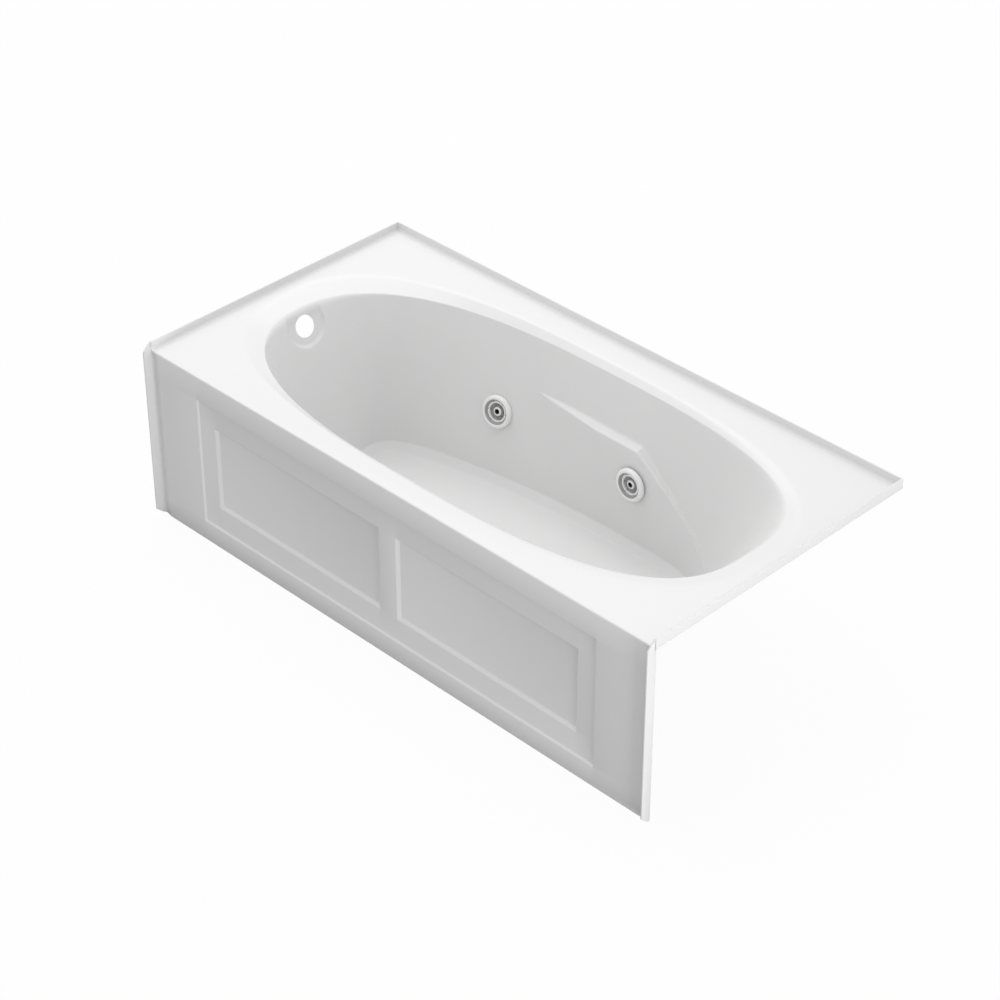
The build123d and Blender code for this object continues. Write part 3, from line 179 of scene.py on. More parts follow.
# tub: deck, basin and tile flange
tub = {
    "endX": 914.5,
    "apronY": -445.5,
    "backY": 470.5,
    "deck": 533.0,
    "wall": 5.0,
    "flangeHeight": 25.0,
    "flangeWall": 4.5,
    "flangeCove": 9.0,
    "flangeRoot": 5.0,
    "deckInset": 4.0,
    "edgeRoll": 5.0,
    "lip": (-878.5, 858.5, -14.0, 380.0, 2.7, 2.7, 0.0),
    "rim": (-806.5, 797.5, -34.0, 358.0, 2.5, 3.0, 0.0),
    "foot": (-646.5, 525.5, 166.0, 278.0, 8.0, 3.5, 0.37),
    "rimDropDrain": 24.0,
    "rimDropBack": 9.0,
    "floor": 70.0,
    "bevel": 23.0,
    "ledgeHeight": 371.0,
    "ledgeDepth": 35.0,
    "ledgeLean": 9.0,
    "ledgeStart": -209.5,
    "ledgeRamp": 240.0,
    "ledgeBend": 181.5,
    "ledgeEnd": 494.5,
    "ledgeEndHeight": 150.0,
    "ledgeFade": 300.0,
    "columns": 480,
    "drain": (-546.5, 25.0),
}
# how softly each corner of the skin is rolled, at the sides and at the two ends
rolls = {
    "deckRing": 34.0,
    "floorRing": 30.0,
    "lip": 16.0,
    "lipEnd": {"backrest": 150.0, "drain": 90.0},
    "rim": 1.5,
    "rimIn": {"backrest": 30.0, "drain": 12.0},
    "rimDown": {"backrest": 185.0, "drain": 22.0},
    "rimPower": {"backrest": 1.3, "drain": 3.0},
    "ledge": 12.0,
    "ledgeEdge": 7.0,
    "wallFoot": 9.0,
    "floorBend": 14.0,
}
# the pressed seat round the overflow, and the finer mesh that carries it
overflow = {
    "place": (-789.88, 0.0, 465.0),
    "normal": Vector((0.93547, 0.0, 0.35340)).normalized(),
    "radius": 32.0,
    "pad": 63.0,
    "padDepth": 6.0,
    "padSlope": 3.0,
    "padSlopeBelow": 9.0,
    "fadeFrom": 52.0,
    "fadeRun": 40.0,
    "near": 40.0,
    "lastX": -700.0,
    "halfAngle": 9.5,
    "columns": 100,
    "rows": (24, 32),
    "split": 4,
}
rimSlope = (tub["rimDropDrain"] - tub["rimDropBack"]) / (tub["rim"][1] - tub["rim"][0])
rimLevel = (
    tub["deck"]
    - (tub["rimDropDrain"] + tub["rimDropBack"]) / 2
    - rimSlope * (tub["rim"][0] + tub["rim"][1]) / 2
)
footLevel = tub["floor"] + tub["bevel"]


def ovalPoint(shape, angle, grow=0.0):
    left, right, middle, half, drainPower, backPower, taper = shape
    c, s = cos(angle), sin(angle)
    power = backPower if c >= 0 else drainPower
    radius = (abs(c) ** power + abs(s) ** power) ** (-1 / power)
    reach = right + grow - middle if c >= 0 else middle - left + grow
    narrow = 1 - taper * (radius * c) ** 2 if c < 0 else 1
    return middle + reach * radius * c, (half + grow) * radius * s * narrow


def ledgeTop(x):
    if x <= tub["ledgeBend"]:
        return tub["ledgeHeight"]
    fall = (tub["ledgeHeight"] - tub["ledgeEndHeight"]) / (tub["ledgeEnd"] - tub["ledgeBend"])
    return tub["ledgeHeight"] - fall * (x - tub["ledgeBend"])


def ledgeStep(x, height):
    rise = min(max((x - tub["ledgeStart"]) / tub["ledgeRamp"], 0), 1)
    fall = min(max((tub["ledgeEnd"] - x) / tub["ledgeFade"], 0), 1)
    soft = rise**0.8 * fall**0.65
    return tub["ledgeDepth"] * soft * (height - footLevel) / (tub["ledgeHeight"] - footLevel)


def roundedCorner(before, corner, after, radius, count):
    # the points of an arc of that radius in the corner, or as much of it as fits
    a, b = (before - corner), (after - corner)
    lengthA, lengthB = a.length, b.length
    a, b = a.normalized(), b.normalized()
    half = a.angle(b) / 2
    if half > pi / 2 - 0.01 or radius <= 0:
        return [corner.copy() for _ in range(count)]
    reach = min(radius / tan(half), lengthA * 0.48, lengthB * 0.48)
    radius = reach * tan(half)
    middle = corner + (a + b).normalized() * (radius / sin(half))
    start, end = corner + a * reach - middle, corner + b * reach - middle
    turn = start.angle(end)
    points = []
    for i in range(count):
        t = i / (count - 1)
        points.append(middle + (start * sin((1 - t) * turn) + end * sin(t * turn)) / sin(turn))
    return points


def rolledCorner(before, corner, after, reachBefore, reachAfter, count):
    # a soft roll that reaches a different way into each of the two runs
    a = corner + (before - corner).normalized() * min(reachBefore, (before - corner).length * 0.48)
    b = corner + (after - corner).normalized() * min(reachAfter, (after - corner).length * 0.48)
    points = []
    for i in range(count):
        t = i / (count - 1)
        points.append(a.lerp(corner, t).lerp(corner.lerp(b, t), t))
    return points


def column(angle, grow, drop):
    # one line of the skin from the deck, over the rim and down the wall to the flat of the floor
    lipX, lipY = ovalPoint(tub["lip"], angle, grow)
    outX, outY = ovalPoint(tub["lip"], angle, grow + rolls["deckRing"])
    rimX, rimY = ovalPoint(tub["rim"], angle, grow)
    footX, footY = ovalPoint(tub["foot"], angle, grow)
    inX, inY = ovalPoint(tub["foot"], angle, grow - tub["bevel"])
    deep = ovalPoint(tub["foot"], angle, grow - tub["bevel"] - rolls["floorRing"])
    deck = tub["deck"] - drop
    footZ = footLevel - drop / 2
    rimZ = rimLevel - drop + rimSlope * rimX
    out, lip = Vector((outX, outY, deck)), Vector((lipX, lipY, deck))
    rim, foot = Vector((rimX, rimY, rimZ)), Vector((footX, footY, footZ))
    inner = Vector((inX, inY, tub["floor"] - drop))
    flat = Vector((*deep, tub["floor"] - drop))
    endness = abs(cos(angle)) ** 3
    end = "backrest" if cos(angle) > 0 else "drain"
    reach = endness ** rolls["rimPower"][end]
    rollIn = rolls["rim"] + rolls["rimIn"][end] * reach
    rollDown = rolls["rim"] + rolls["rimDown"][end] * reach
    points = [out]
    points += roundedCorner(out, lip, rim, rolls["lip"] + rolls["lipEnd"][end] * endness, 9)
    points += rolledCorner(lip, rim, foot, rollIn, rollDown, 15)
    # where the ledge crosses this column
    side = 1 if rimY > 0 else -1
    low, high = footZ + 6, rimZ - 10
    for _ in range(24):
        middle = (low + high) / 2
        x = foot.x + (rim.x - foot.x) * (middle - footZ) / (rimZ - footZ)
        if ledgeTop(x) - drop > middle:
            low = middle
        else:
            high = middle
    share = (low - footZ) / (rimZ - footZ)
    top = foot.lerp(rim, share)
    step = ledgeStep(top.x, top.z) if abs(top.y) > 120 else 0
    top = top - Vector((0, side * tub["ledgeLean"] * step / tub["ledgeDepth"], 0))
    start = points[-1]
    for i in range(1, 9):
        points.append(start.lerp(top, i / 9))
    shelf = top - Vector((0, side * step * (1 - tub["ledgeLean"] / tub["ledgeDepth"]), 0))
    blend = min(1.0, step / 8)
    if step > 0.3:
        upper = roundedCorner(start, top, shelf, rolls["ledge"] * blend, 5)
        edge = roundedCorner(top, shelf, foot, rolls["ledgeEdge"] * blend, 6)
    else:
        upper = [top.lerp(foot, 0.004 * i) for i in range(5)]
        edge = [top.lerp(foot, 0.02 + 0.004 * i) for i in range(6)]
    points += upper + edge
    bend = roundedCorner(edge[-1], foot, inner, rolls["wallFoot"], 6)
    for i in range(1, 10):
        points.append(edge[-1].lerp(bend[0], i / 10))
    points += bend
    points += roundedCorner(foot, inner, flat, rolls["floorBend"], 6)
    points.append(flat)
    return points


def pressPad(point):
    # the shallow seat round the overflow, open upwards, with a short slope round it
    normal = overflow["normal"]
    up = Vector((-normal.z, 0, normal.x))
    d = point - Vector(overflow["place"])
    if abs(d.dot(normal)) > overflow["near"] or point.x > overflow["lastX"]:
        return point
    v, u = d.dot(up), d.y
    reach = sqrt(u * u + min(v, 0) ** 2)
    slope = overflow["padSlope"] + overflow["padSlopeBelow"] * max(-v, 0) / max(reach, 1)
    fade = min(max((overflow["fadeFrom"] - v) / overflow["fadeRun"], 0), 1)
    amount = min(max((overflow["pad"] - reach) / slope, 0), 1)
    amount = amount * amount * (3 - 2 * amount) * fade * fade * (3 - 2 * fade)
    return point - normal * overflow["padDepth"] * amount


def refine(points):
    # the rows that cross the overflow's seat are split, so that the seat gets a clean edge
    out = []
    first, last = overflow["rows"]
    for k in range(len(points) - 1):
        a, b = points[k], points[k + 1]
        parts = overflow["split"] if first <= k <= last else 1
        for i in range(parts):
            out.append(pressPad(a.lerp(b, i / parts)))
    out.append(points[-1])
    return out


def tubAngles():
    # evenly spaced, with more of them where the overflow's seat is
    half, count = overflow["halfAngle"], overflow["columns"]
    even = [2 * pi * (i + 0.5) / tub["columns"] for i in range(tub["columns"])]
    extra = [pi + radians(-half + 2 * half * i / count) for i in range(count + 1)]
    return sorted([a for a in even if abs(a - pi) > radians(half + 0.1)] + extra)


def buildTubMesh():
    angles = tubAngles()
    top = [column(a, 0.0, 0.0) for a in angles]
    under = [column(a, tub["wall"], tub["wall"]) for a in angles]
    count = len(angles)
    rowsTop = [refine(points) for points in top]
    points, faces = [], []

    def addRows(rows, flip):
        start = len(points)
        width = len(rows[0])
        for row in rows:
            points.extend(tuple(p) for p in row)
        for i in range(count):
            j = (i + 1) % count
            for k in range(width - 1):
                a, b = start + i * width + k, start + j * width + k
                quad = (a, b, b + 1, a + 1)
                faces.append(quad if flip else quad[::-1])
        outer = [start + i * width for i in range(count)]
        inner = [start + i * width + width - 1 for i in range(count)]
        return outer, inner

    outerTop, innerTop = addRows(rowsTop, True)
    outerUnder, innerUnder = addRows(under, False)
    mesh = bpy.data.meshes.new("tubShellBuild")
    mesh.from_pydata([(x * mm, y * mm, z * mm) for x, y, z in points], [], faces)
    mesh.materials.append(acrylic)
    mesh.materials.append(fibreBack)
    # the under side shows its glass fibre
    topFaces = count * (len(rowsTop[0]) - 1)
    for polygon in mesh.polygons:
        polygon.material_index = 1 if polygon.index >= topFaces else 0
    bm = bmesh.new()
    bm.from_mesh(mesh)
    bm.verts.ensure_lookup_table()
    loops = [[bm.verts[i] for i in loop] for loop in (outerTop, outerUnder, innerTop, innerUnder)]
    roll = tub["edgeRoll"]

    def rectangle(z):
        x, front, back = tub["endX"] - tub["deckInset"], tub["apronY"] + roll, tub["backY"] - tub["deckInset"]
        corners = ((-x, front), (x, front), (x, back), (-x, back))
        return [bm.verts.new((a * mm, b * mm, z * mm)) for a, b in corners]

    def fill(loops, up):
        edges = []
        for loop in loops:
            for i, vertex in enumerate(loop):
                other = loop[(i + 1) % len(loop)]
                edge = bm.edges.get((vertex, other)) or bm.edges.new((vertex, other))
                edges.append(edge)
        made = bmesh.ops.triangle_fill(bm, use_beauty=True, edges=edges, normal=(0, 0, up))
        for face in made["geom"]:
            if isinstance(face, bmesh.types.BMFace):
                face.material_index = 0 if up > 0 else 1

    topRect = rectangle(tub["deck"])
    lowRect = rectangle(tub["deck"] - tub["wall"])
    fill([topRect, loops[0]], 1)
    fill([lowRect, loops[1]], -1)
    # the deck edge rolls over the apron's face
    rows = [topRect[:2]]
    for i in range(1, 7):
        angle = pi / 2 * i / 6
        y = (tub["apronY"] + roll - roll * sin(angle)) * mm
        z = (tub["deck"] - roll + roll * cos(angle)) * mm
        rows.append([bm.verts.new((v.co.x, y, z)) for v in topRect[:2]])
    for a, b in zip(rows, rows[1:]):
        bm.faces.new((a[0], b[0], b[1], a[1]))
    bm.faces.new((rows[-1][0], lowRect[0], lowRect[1], rows[-1][1]))
    for i in (0, 1):
        fan = [row[i] for row in rows] + [lowRect[i]]
        bm.faces.new(fan if i else fan[::-1])
    for i in (1, 2, 3):
        j = (i + 1) % 4
        bm.faces.new((topRect[i], topRect[j], lowRect[j], lowRect[i]))
    fill([loops[2]], 1)
    fill([loops[3]], -1)
    bmesh.ops.remove_doubles(bm, verts=bm.verts, dist=2e-6)
    bmesh.ops.recalc_face_normals(bm, faces=bm.faces)
    bm.to_mesh(mesh)
    bm.free()
    return mesh


tubMesh = buildTubMesh()
print("tub skin:", len(tubMesh.vertices), "points,", len(tubMesh.polygons), "faces")

# tile flange: one profile swept round three sides, its corners mitred
def buildFlangeMesh():
    endX, apronY, backY = tub["endX"], tub["apronY"], tub["backY"]
    deck, height = tub["deck"], tub["flangeHeight"]
    wall, cove, root = tub["flangeWall"], tub["flangeCove"], tub["flangeRoot"]
    profile = [(0, deck - root), (0, deck + height - 1), (0.3, deck + height - 0.3), (1, deck + height)]
    profile += [(wall - 1, deck + height), (wall - 0.3, deck + height - 0.3), (wall, deck + height - 1)]
    for i in range(9):
        angle = pi / 2 * i / 8
        profile.append((wall + cove - cove * cos(angle), deck + cove - cove * sin(angle)))
    profile += [(wall + cove, deck - root)]
    width = len(profile)
    points, faces = [], []
    stations = [
        lambda d, z: (-endX + d, apronY, z),
        lambda d, z: (-endX + d, backY - d, z),
        lambda d, z: (endX - d, backY - d, z),
        lambda d, z: (endX - d, apronY, z),
    ]
    for station in stations:
        points += [station(d, z) for d, z in profile]
    for s in range(3):
        for k in range(width):
            m = (k + 1) % width
            faces.append((s * width + k, s * width + m, (s + 1) * width + m, (s + 1) * width + k))
    faces.append(tuple(range(width)))
    faces.append(tuple(3 * width + k for k in reversed(range(width))))
    return meshFrom("tileFlange", points, faces, 35)


# holes in the skin: each place is its origin, the way out of the wall and the way along it
farWallJets = {
    "drain": ((-324.421, 283.127, 268.132), (0.144854, -0.959835, 0.240279), (0.988803, 0.149225, 0)),
    "back": ((175.496, 284.298, 268.021), (-0.011936, -0.998213, 0.05855), (0.999929, -0.011957, 0)),
}
jets = {}
for wallName, side in (("front", -1), ("rear", 1)):
    for endName, (origin, out, along) in farWallJets.items():
        jets[f"{wallName}_{endName}_jet"] = (
            (origin[0], side * origin[1], origin[2]),
            (out[0], side * out[1], out[2]),
            (side * along[0], along[1], along[2]),
        )
suctionPlace = ((-349.334, -249.579, 152.244), (0.162896, 0.957076, 0.239728), (-0.985823, 0.167789, 0))
holeSizes = {"jet": 31.0, "suction": 36.5, "fine": 64, "coarse": 40, "length": 50.0}


def placed(place):
    # a piece's own axes at that place, in metres: Z out of the wall into the basin
    origin, normal, along = (Vector(v) for v in place)
    normal, along = normal.normalized(), along.normalized()
    up = normal.cross(along)
    matrix = Matrix((along, up, normal)).transposed().to_4x4()
    matrix.translation = origin * mm
    return matrix


def cutHoles(mesh):
    bm = bmesh.new()
    coarse, fine = holeSizes["coarse"], holeSizes["fine"]
    drainX, drainRadius = tub["drain"]
    holes = [(place, holeSizes["jet"], coarse) for place in jets.values()]
    holes += [
        (suctionPlace, holeSizes["suction"], coarse),
        ((overflow["place"], tuple(overflow["normal"]), (0, 1, 0)), overflow["radius"], fine),
        (((drainX, 0, tub["floor"]), (0, 0, 1), (1, 0, 0)), drainRadius, fine),
    ]
    for place, radius, segments in holes:
        bmesh.ops.create_cone(
            bm,
            cap_ends=True,
            segments=segments,
            radius1=radius * mm,
            radius2=radius * mm,
            depth=holeSizes["length"] * mm,
            matrix=placed(place),
        )
    cutter = bpy.data.objects.new("holeCutters", bpy.data.meshes.new("holeCutters"))
    bm.to_mesh(cutter.data)
    bm.free()
    body = bpy.data.objects.new("tubBody", mesh)
    for item in (cutter, body):
        bpy.context.scene.collection.objects.link(item)
    cut = body.modifiers.new("holes", "BOOLEAN")
    cut.operation = "DIFFERENCE"
    cut.solver = "EXACT"
    cut.object = cutter
    applied(body)
    result = body.data
    bpy.data.objects.remove(body)
    bpy.data.objects.remove(cutter)
    return result


tubMesh = cutHoles(tubMesh)
smooth(tubMesh, 24)
newObject("basinAndDeck", tubMesh, "tub", "tub_acrylic", None, "tub_shell")
newObject("tileFlange", buildFlangeMesh(), "tub", "tub_acrylic", acrylic, "tub_shell")
print("tub built:", len(tubMesh.polygons), "faces")

# apron with its recesses and the two front strips
apron = {
    "recessSide": 185.0,
    "recessTop": 75.0,
    "recessBottom": 61.0,
    "recessDepth": 6.0,
    "recessSlope": 3.5,
    "frame": 63.0,
    "topFrame": 67.0,
    "bottomFrame": 71.0,
    "panelDepth": 8.0,
    "panelSlope": 8.0,
    "grooveWidth": 32.0,
    "grooveDepth": 8.0,
    "grooveFoot": 5.0,
    "grooveShares": (0.0, 0.06, 0.14, 0.24, 0.36, 0.5, 0.64, 0.78, 0.9, 1.0),
    "grooveTurn": 0.86,
    "reach": 25.0,
    "chamfer": 23.0,
    "strip": 4.5,
    "wall": 5.0,
    "panelEdge": 0.9,
    "stripEdge": 0.8,
}


def buildApronMesh():
    endX, y0, deck = tub["endX"], tub["apronY"], tub["deck"]
    top = deck - tub["edgeRoll"]
    left, right = -endX + apron["recessSide"], endX - apron["recessSide"]
    low, high = apron["recessBottom"], deck - apron["recessTop"]
    slope, bevel = apron["recessSlope"], apron["panelSlope"]
    panelLow, panelHigh = low + apron["bottomFrame"], high - apron["topFrame"]
    half = apron["frame"] / 2
    panels = [(left + apron["frame"], -half), (half, right - apron["frame"])]
    xs = {left, left + slope, right - slope, right}
    for a, b in panels:
        xs |= {a, a + bevel, b - bevel, b}
    groove, inner = apron["grooveWidth"], endX - apron["strip"]
    grooveSteps = [inner - groove * share for share in apron["grooveShares"]]
    xs |= set(grooveSteps) | {-x for x in grooveSteps}
    zs = {0.0, low, low + slope, high - slope, high, top}
    zs |= {panelLow, panelLow + bevel, panelHigh - bevel, panelHigh}
    xs, zs = sorted(xs), sorted(zs)

    def depth(x, z):
        d = apron["recessDepth"] * min(max(min(x - left, right - x, z - low, high - z) / slope, 0), 1)
        for a, b in panels:
            d += apron["panelDepth"] * min(max(min(x - a, b - x, z - panelLow, panelHigh - z) / bevel, 0), 1)
        share = max(0.0, abs(x) - (inner - groove)) / groove
        narrow = apron["grooveFoot"] + (apron["grooveDepth"] - apron["grooveFoot"]) * z / top
        bowl = share * share * (3 - 2 * share)
        rise = max(0.0, share - apron["grooveTurn"]) / (1 - apron["grooveTurn"])
        return d + narrow * bowl * (1 - 0.6 * rise)

    points, faces = [], []
    for back in (0.0, apron["wall"]):
        for x in xs:
            for z in zs:
                points.append((x, y0 + depth(x, z) + back, z))
    width = len(zs)
    size = len(xs) * width
    for i in range(len(xs) - 1):
        for k in range(width - 1):
            a, b = i * width + k, (i + 1) * width + k
            ring = [a, b, b + 1, a + 1]
            corners = [(xs[i], zs[k]), (xs[i + 1], zs[k]), (xs[i + 1], zs[k + 1]), (xs[i], zs[k + 1])]
            depths = [round(depth(x, z), 4) for x, z in corners]
            # a square with one corner off the plane of the others is split at that corner
            odd = next((n for n in range(4) if depths.count(depths[n]) == 1), None)
            if odd is None:
                front = [ring]
            else:
                order = [ring[(odd + n) % 4] for n in range(4)]
                front = [[order[0], order[1], order[2]], [order[0], order[2], order[3]]]
            faces += front + [[v + size for v in reversed(f)] for f in front]
    border = list(range(width)) + [i * width + width - 1 for i in range(1, len(xs))]
    border += [(len(xs) - 1) * width + k for k in range(width - 2, -1, -1)]
    border += [i * width for i in range(len(xs) - 2, 0, -1)]
    for n, a in enumerate(border):
        b = border[(n + 1) % len(border)]
        faces.append([a, b, b + size, a + size])
    return meshFrom("apron", points, faces, 14)


def buildStripMesh():
    endX, y0 = tub["endX"], tub["apronY"]
    reach, chamfer, top = apron["reach"], apron["chamfer"], tub["deck"] + tub["flangeHeight"]
    under = tub["deck"] - tub["edgeRoll"]
    outline = [
        (y0 + apron["wall"], 0),
        (y0, 0),
        (y0 - reach, chamfer),
        (y0 - reach, top - chamfer),
        (y0 - reach + chamfer, top),
        (y0 + 2, top),
        (y0 + 2, under),
        (y0 + apron["wall"], under),
    ]
    points, faces = [], []
    for side in (-1, 1):
        start = len(points)
        for x in (side * endX, side * (endX - apron["strip"])):
            points += [(x, y, z) for y, z in outline]
        count = len(outline)
        for k in range(count):
            m = (k + 1) % count
            faces.append([start + k, start + m, start + count + m, start + count + k])
        faces.append([start + k for k in range(count)])
        faces.append([start + count + k for k in reversed(range(count))])
    return meshFrom("strips", points, faces, 30)


def beveled(piece, width, segments, degrees):
    bevel = piece.modifiers.new("softEdges", "BEVEL")
    bevel.width = width * mm
    bevel.segments = segments
    bevel.limit_method = "ANGLE"
    bevel.angle_limit = radians(degrees)
    applied(piece)
    smooth(piece.data, 30)


apronPanel = newObject("apronPanels", buildApronMesh(), "tub", "tub_acrylic", acrylic, "front_apron")
beveled(apronPanel, apron["panelEdge"], 2, 20)
apronStrips = newObject("apronEndStrips", buildStripMesh(), "tub", "tub_acrylic", acrylic, "front_apron")
beveled(apronStrips, apron["stripEdge"], 2, 25)
print("apron built")

# jet rings and nozzles, turned about their own axis
# each profile point gives its radius, its height and the finish of the run that follows; finish 1 is painted
# shade, a darker grey in the funnel and on the ball, and finish 2 is painted shadow in the nozzle's bore
jetRing = {
    "segments": 96,
    "profile": [
        (41.6, 0.8, 0), (48.0, 0.8, 0), (48.0, 4.0, 0), (47.6, 7.5, 0), (46.2, 10.2, 0),
        (43.6, 12.2, 0), (41.0, 12.8, 0), (38.4, 12.5, 0), (36.4, 11.6, 1), (34.2, 9.6, 1),
        (32.0, 7.0, 1), (28.6, 3.4, 1), (25.2, -0.3, 1), (22.0, -3.8, 1), (19.5, -4.3, 1),
        (18.0, -5.0, 1), (18.95, -8.5, 1), (19.3, -12.0, 1), (18.88, -16.0, 0), (25.1, -16.0, 0),
        (25.1, 4.8, 0), (41.6, 4.8, 0),
    ],
}
jetNozzle = {
    "ball": 19.0,
    "ballZ": -12.0,
    "profile": [
        (7.5, -21.5, 2), (7.5, 4.2, 0), (8.2, 5.0, 0), (9.8, 5.0, 0), (10.9, 4.3, 0), (13.0, 1.86, 1),
    ],
    "arc": (46.8, -54.6),
    "steps": 14,
    "segments": 64,
}


def turned(name, profile, segments, place, materials):
    points, faces, finish = [], [], []
    count = len(profile)
    for i in range(segments):
        angle = 2 * pi * i / segments
        points += [(r * cos(angle), r * sin(angle), z) for r, z, _ in profile]
    for i in range(segments):
        j = (i + 1) % segments
        for k in range(count):
            m = (k + 1) % count
            faces.append((i * count + k, i * count + m, j * count + m, j * count + k))
            finish.append(profile[k][2])
    mesh = bpy.data.meshes.new(name)
    mesh.from_pydata([(x * mm, y * mm, z * mm) for x, y, z in points], [], faces)
    for material in materials:
        mesh.materials.append(material)
    mesh.polygons.foreach_set("material_index", finish)
    bm = bmesh.new()
    bm.from_mesh(mesh)
    bmesh.ops.recalc_face_normals(bm, faces=bm.faces)
    bm.to_mesh(mesh)
    bm.free()
    mesh.transform(placed(place))
    smooth(mesh, 32)
    return mesh


def nozzleProfile():
    ball, ballZ = jetNozzle["ball"], jetNozzle["ballZ"]
    start, end = (radians(a) for a in jetNozzle["arc"])
    arc = [start + (end - start) * i / jetNozzle["steps"] for i in range(1, jetNozzle["steps"] + 1)]
    return jetNozzle["profile"] + [(ball * cos(a), ballZ + ball * sin(a), 1) for a in arc]


ringSegments, nozzleSegments = jetRing["segments"], jetNozzle["segments"]
for jet, place in jets.items():
    mesh = turned(jet + "_trim_ring", jetRing["profile"], ringSegments, place, (jetWhite, jetPaintedShade))
    newObject(jet + "_trim_ring", mesh, jet + "_ring_turn", "jet_trim", None, jet + "_ring")
    mesh = turned(jet + "_eyeball", nozzleProfile(), nozzleSegments, place, (jetWhite, jetPaintedShade, jetPaintedShadow))
    newObject(jet + "_eyeball", mesh, jet + "_aim", "jet_nozzle", None, jet + "_nozzle")
print("jets turned")

# the slots in each jet's funnel, one plate repeated round the ring; the plates are near-black painted shadow
# for the dark inside the openings
jetSlots = {
    "count": 6,
    "radius": 27.0,
    "height": 1.9,
    "tilt": 48.0,
    "length": 8.5,
    "width": 4.2,
    "thickness": 1.2,
}


def buildSlotRing():
    group = bpy.data.node_groups.new("slotRing", "GeometryNodeTree")
    group.is_modifier = True
    group.interface.new_socket("Geometry", in_out="OUTPUT", socket_type="NodeSocketGeometry")
    for label, kind, value in (
        ("Count", "NodeSocketInt", jetSlots["count"]),
        ("Radius", "NodeSocketFloat", jetSlots["radius"] * mm),
        ("Tilt", "NodeSocketFloat", radians(-jetSlots["tilt"])),
    ):
        socket = group.interface.new_socket(label, in_out="INPUT", socket_type=kind)
        socket.default_value = value
    make, link = group.nodes.new, group.links.new
    inputs, output = make("NodeGroupInput"), make("NodeGroupOutput")
    circle, plate = make("GeometryNodeMeshCircle"), make("GeometryNodeMeshCube")
    plate.inputs["Size"].default_value = [jetSlots[k] * mm for k in ("length", "width", "thickness")]
    tilt, turn = make("FunctionNodeEulerToRotation"), make("FunctionNodeEulerToRotation")
    index = make("GeometryNodeInputIndex")
    share, angle = make("ShaderNodeMath"), make("ShaderNodeMath")
    share.operation, angle.operation = "DIVIDE", "MULTIPLY"
    angle.inputs[1].default_value = 2 * pi
    tiltAxis, turnAxis = make("ShaderNodeCombineXYZ"), make("ShaderNodeCombineXYZ")
    both = make("FunctionNodeRotateRotation")
    both.rotation_space = "GLOBAL"
    spread, real = make("GeometryNodeInstanceOnPoints"), make("GeometryNodeRealizeInstances")
    paint = make("GeometryNodeSetMaterial")
    paint.inputs["Material"].default_value = jetPaintedShadow
    link(inputs.outputs["Count"], circle.inputs["Vertices"])
    link(inputs.outputs["Radius"], circle.inputs["Radius"])
    link(inputs.outputs["Tilt"], tiltAxis.inputs["Y"])
    link(tiltAxis.outputs["Vector"], tilt.inputs["Euler"])
    link(index.outputs["Index"], share.inputs[0])
    link(inputs.outputs["Count"], share.inputs[1])
    link(share.outputs["Value"], angle.inputs[0])
    link(angle.outputs["Value"], turnAxis.inputs["Z"])
    link(turnAxis.outputs["Vector"], turn.inputs["Euler"])
    link(tilt.outputs["Rotation"], both.inputs["Rotation"])
    link(turn.outputs["Rotation"], both.inputs["Rotate By"])
    link(circle.outputs["Mesh"], spread.inputs["Points"])
    link(plate.outputs["Mesh"], spread.inputs["Instance"])
    link(both.outputs["Rotation"], spread.inputs["Rotation"])
    link(spread.outputs["Instances"], real.inputs["Geometry"])
    link(real.outputs["Geometry"], paint.inputs["Geometry"])
    link(paint.outputs["Geometry"], output.inputs["Geometry"])
    piece = bpy.data.objects.new("slotRing", bpy.data.meshes.new("slotRing"))
    bpy.context.scene.collection.objects.link(piece)
    modifier = piece.modifiers.new("slots", "NODES")
    modifier.node_group = group
    applied(piece)
    mesh = piece.data
    bpy.data.objects.remove(piece)
    return mesh


slotMesh = buildSlotRing()
print("slot ring:", len(slotMesh.polygons), "faces")
for jet, place in jets.items():
    mesh = slotMesh.copy()
    mesh.transform(placed(place) @ Matrix.Translation((0, 0, jetSlots["height"] * mm)))
    newObject(jet + "_slots", mesh, jet + "_ring_turn", "jet_nozzle", jetPaintedShadow)

# finishes of the carried-over pieces
finishes = {
    "jet_trim": jetWhite,
    "jet_nozzle": jetWhite,
    "rubber": rubberBlack,
    "coated_wood": resinBoard,
    "pump_plastic": blackPlastic,
    "motor_casting": castAluminium,
    "motor_paint": motorPaint,
    "steel": brightSteel,
    "core_steel": coreSteel,
    "white_pipe": pipeWhite,
    "tub_acrylic": acrylic,
}
for part in frame["record"]["subparts"]:
    node = nodes[part["node"]]
    node.data.materials.clear()
    node.data.materials.append(finishes[part["material_slot"]])
print("finishes set")

# studio: floor, light and camera
studio = {
    "top": 120,
    "side": 100,
    "world": 0.88,
    "floor": 0.33,
    "floorSize": 30,
    "floorDrop": 0.0005,
    "floorGlow": 1.06,
    "glowShare": 0.9,
    "lens": 100.93,
    "cameraPlace": (4.2405, -4.2925, 4.546),
    "heading": 44.88,
    "pitch": 35.31,
}


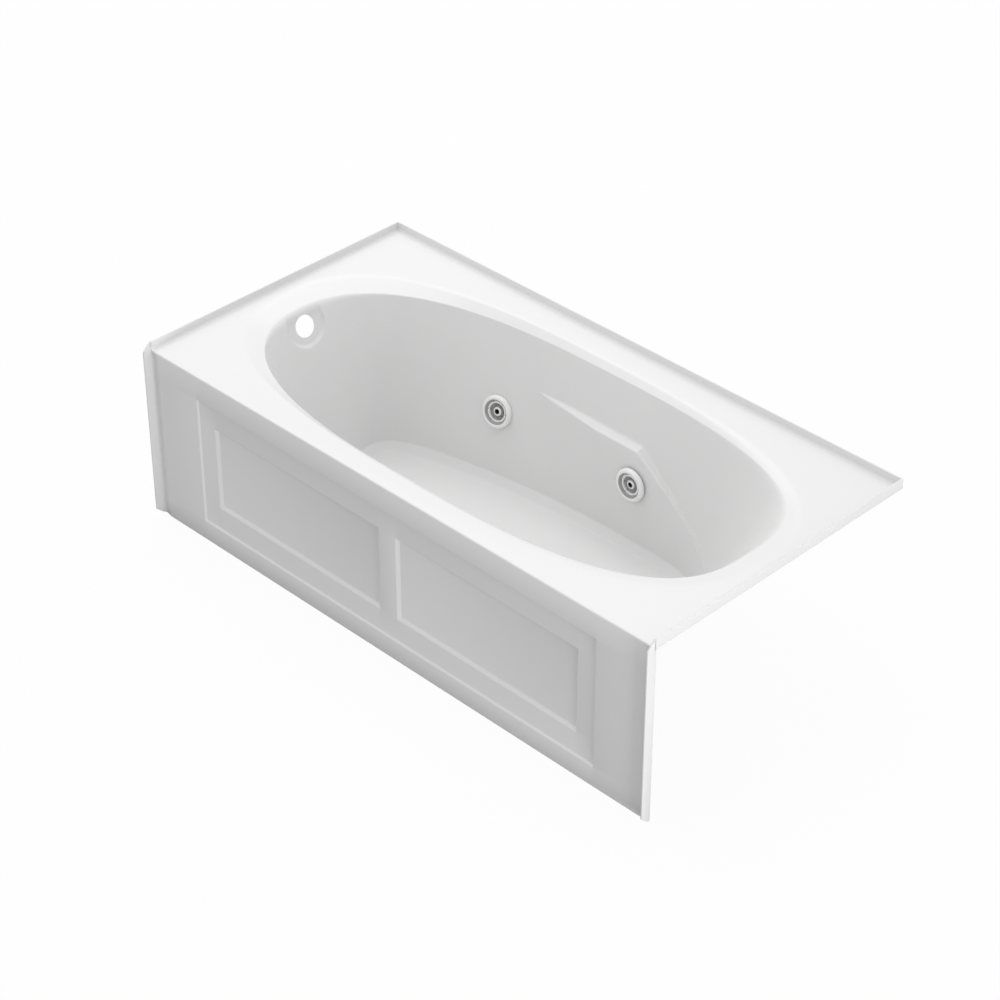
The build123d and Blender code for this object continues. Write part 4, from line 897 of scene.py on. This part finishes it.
def buildStudio():
    bm = bmesh.new()
    bmesh.ops.create_grid(bm, x_segments=1, y_segments=1, size=studio["floorSize"])
    mesh = bpy.data.meshes.new("studioFloor")
    bm.to_mesh(mesh)
    bm.free()
    floor = bpy.data.objects.new("studioFloor", mesh)
    floor.location.z = -studio["floorDrop"]
    bpy.context.scene.collection.objects.link(floor)
    material = bpy.data.materials.new("paleStudioFloor")
    material.use_nodes = True
    tree = material.node_tree
    shader = shaderOf(material)
    shader.inputs["Base Color"].default_value = (studio["floor"], studio["floor"], studio["floor"], 1)
    shader.inputs["Roughness"].default_value = 0.9
    shader.inputs["Specular IOR Level"].default_value = 0.0
    glow = tree.nodes.new("ShaderNodeEmission")
    glow.inputs["Color"].default_value = (1, 1, 1, 1)
    glow.inputs["Strength"].default_value = studio["floorGlow"]
    # the camera sees a near-white floor that still takes the shadow
    mix = tree.nodes.new("ShaderNodeMixShader")
    path = tree.nodes.new("ShaderNodeLightPath")
    seenShare = tree.nodes.new("ShaderNodeMath")
    seenShare.operation = "MULTIPLY"
    seenShare.inputs[1].default_value = studio["glowShare"]
    out = next(n for n in tree.nodes if n.type == "OUTPUT_MATERIAL")
    tree.links.new(path.outputs["Is Camera Ray"], seenShare.inputs[0])
    tree.links.new(seenShare.outputs["Value"], mix.inputs["Fac"])
    tree.links.new(shader.outputs["BSDF"], mix.inputs[1])
    tree.links.new(glow.outputs["Emission"], mix.inputs[2])
    tree.links.new(mix.outputs["Shader"], out.inputs["Surface"])
    mesh.materials.append(material)

    world = bpy.context.scene.world or bpy.data.worlds.new("studioWorld")
    bpy.context.scene.world = world
    world.use_nodes = True
    nodesOf = world.node_tree.nodes
    background = next(n for n in nodesOf if n.type == "BACKGROUND")
    background.inputs["Color"].default_value = (1, 1, 1, 1)
    seen = nodesOf.new("ShaderNodeLightPath")
    most = nodesOf.new("ShaderNodeMath")
    most.operation = "MAXIMUM"
    level = nodesOf.new("ShaderNodeMapRange")
    level.inputs["To Min"].default_value = studio["world"]
    level.inputs["To Max"].default_value = 1.0
    links = world.node_tree.links
    links.new(seen.outputs["Is Camera Ray"], most.inputs[0])
    links.new(seen.outputs["Is Transmission Ray"], most.inputs[1])
    links.new(most.outputs["Value"], level.inputs["Value"])
    links.new(level.outputs["Result"], background.inputs["Strength"])


def addLamp(name, place, aim, width, height, energy):
    lamp = bpy.data.lights.new(name, "AREA")
    lamp.shape = "RECTANGLE"
    lamp.size = width
    lamp.size_y = height
    lamp.energy = energy
    piece = bpy.data.objects.new(name, lamp)
    piece.location = place
    piece.rotation_euler = (Vector(aim) - Vector(place)).to_track_quat("-Z", "Y").to_euler()
    bpy.context.scene.collection.objects.link(piece)


buildStudio()
addLamp("softTop", (-2.0, 1.2, 5.2), (0, 0, 0.4), 4.5, 4.5, studio["top"])
addLamp("softSide", (4.9, -1.3, 0.25), (0, -0.3, 0.25), 2.0, 0.4, studio["side"])

camera = bpy.data.cameras.new("photoCamera")
camera.sensor_width = 36
camera.lens = studio["lens"]
camera.clip_end = 100
cameraObject = bpy.data.objects.new("photoCamera", camera)
cameraObject.location = studio["cameraPlace"]
heading, pitch = radians(studio["heading"]), radians(studio["pitch"])
forward = Vector((-cos(pitch) * sin(heading), cos(pitch) * cos(heading), -sin(pitch)))
cameraObject.rotation_euler = forward.to_track_quat("-Z", "Y").to_euler()
bpy.context.scene.collection.objects.link(cameraObject)
bpy.context.scene.camera = cameraObject
bpy.context.scene.view_settings.view_transform = "Standard"
print("studio set")
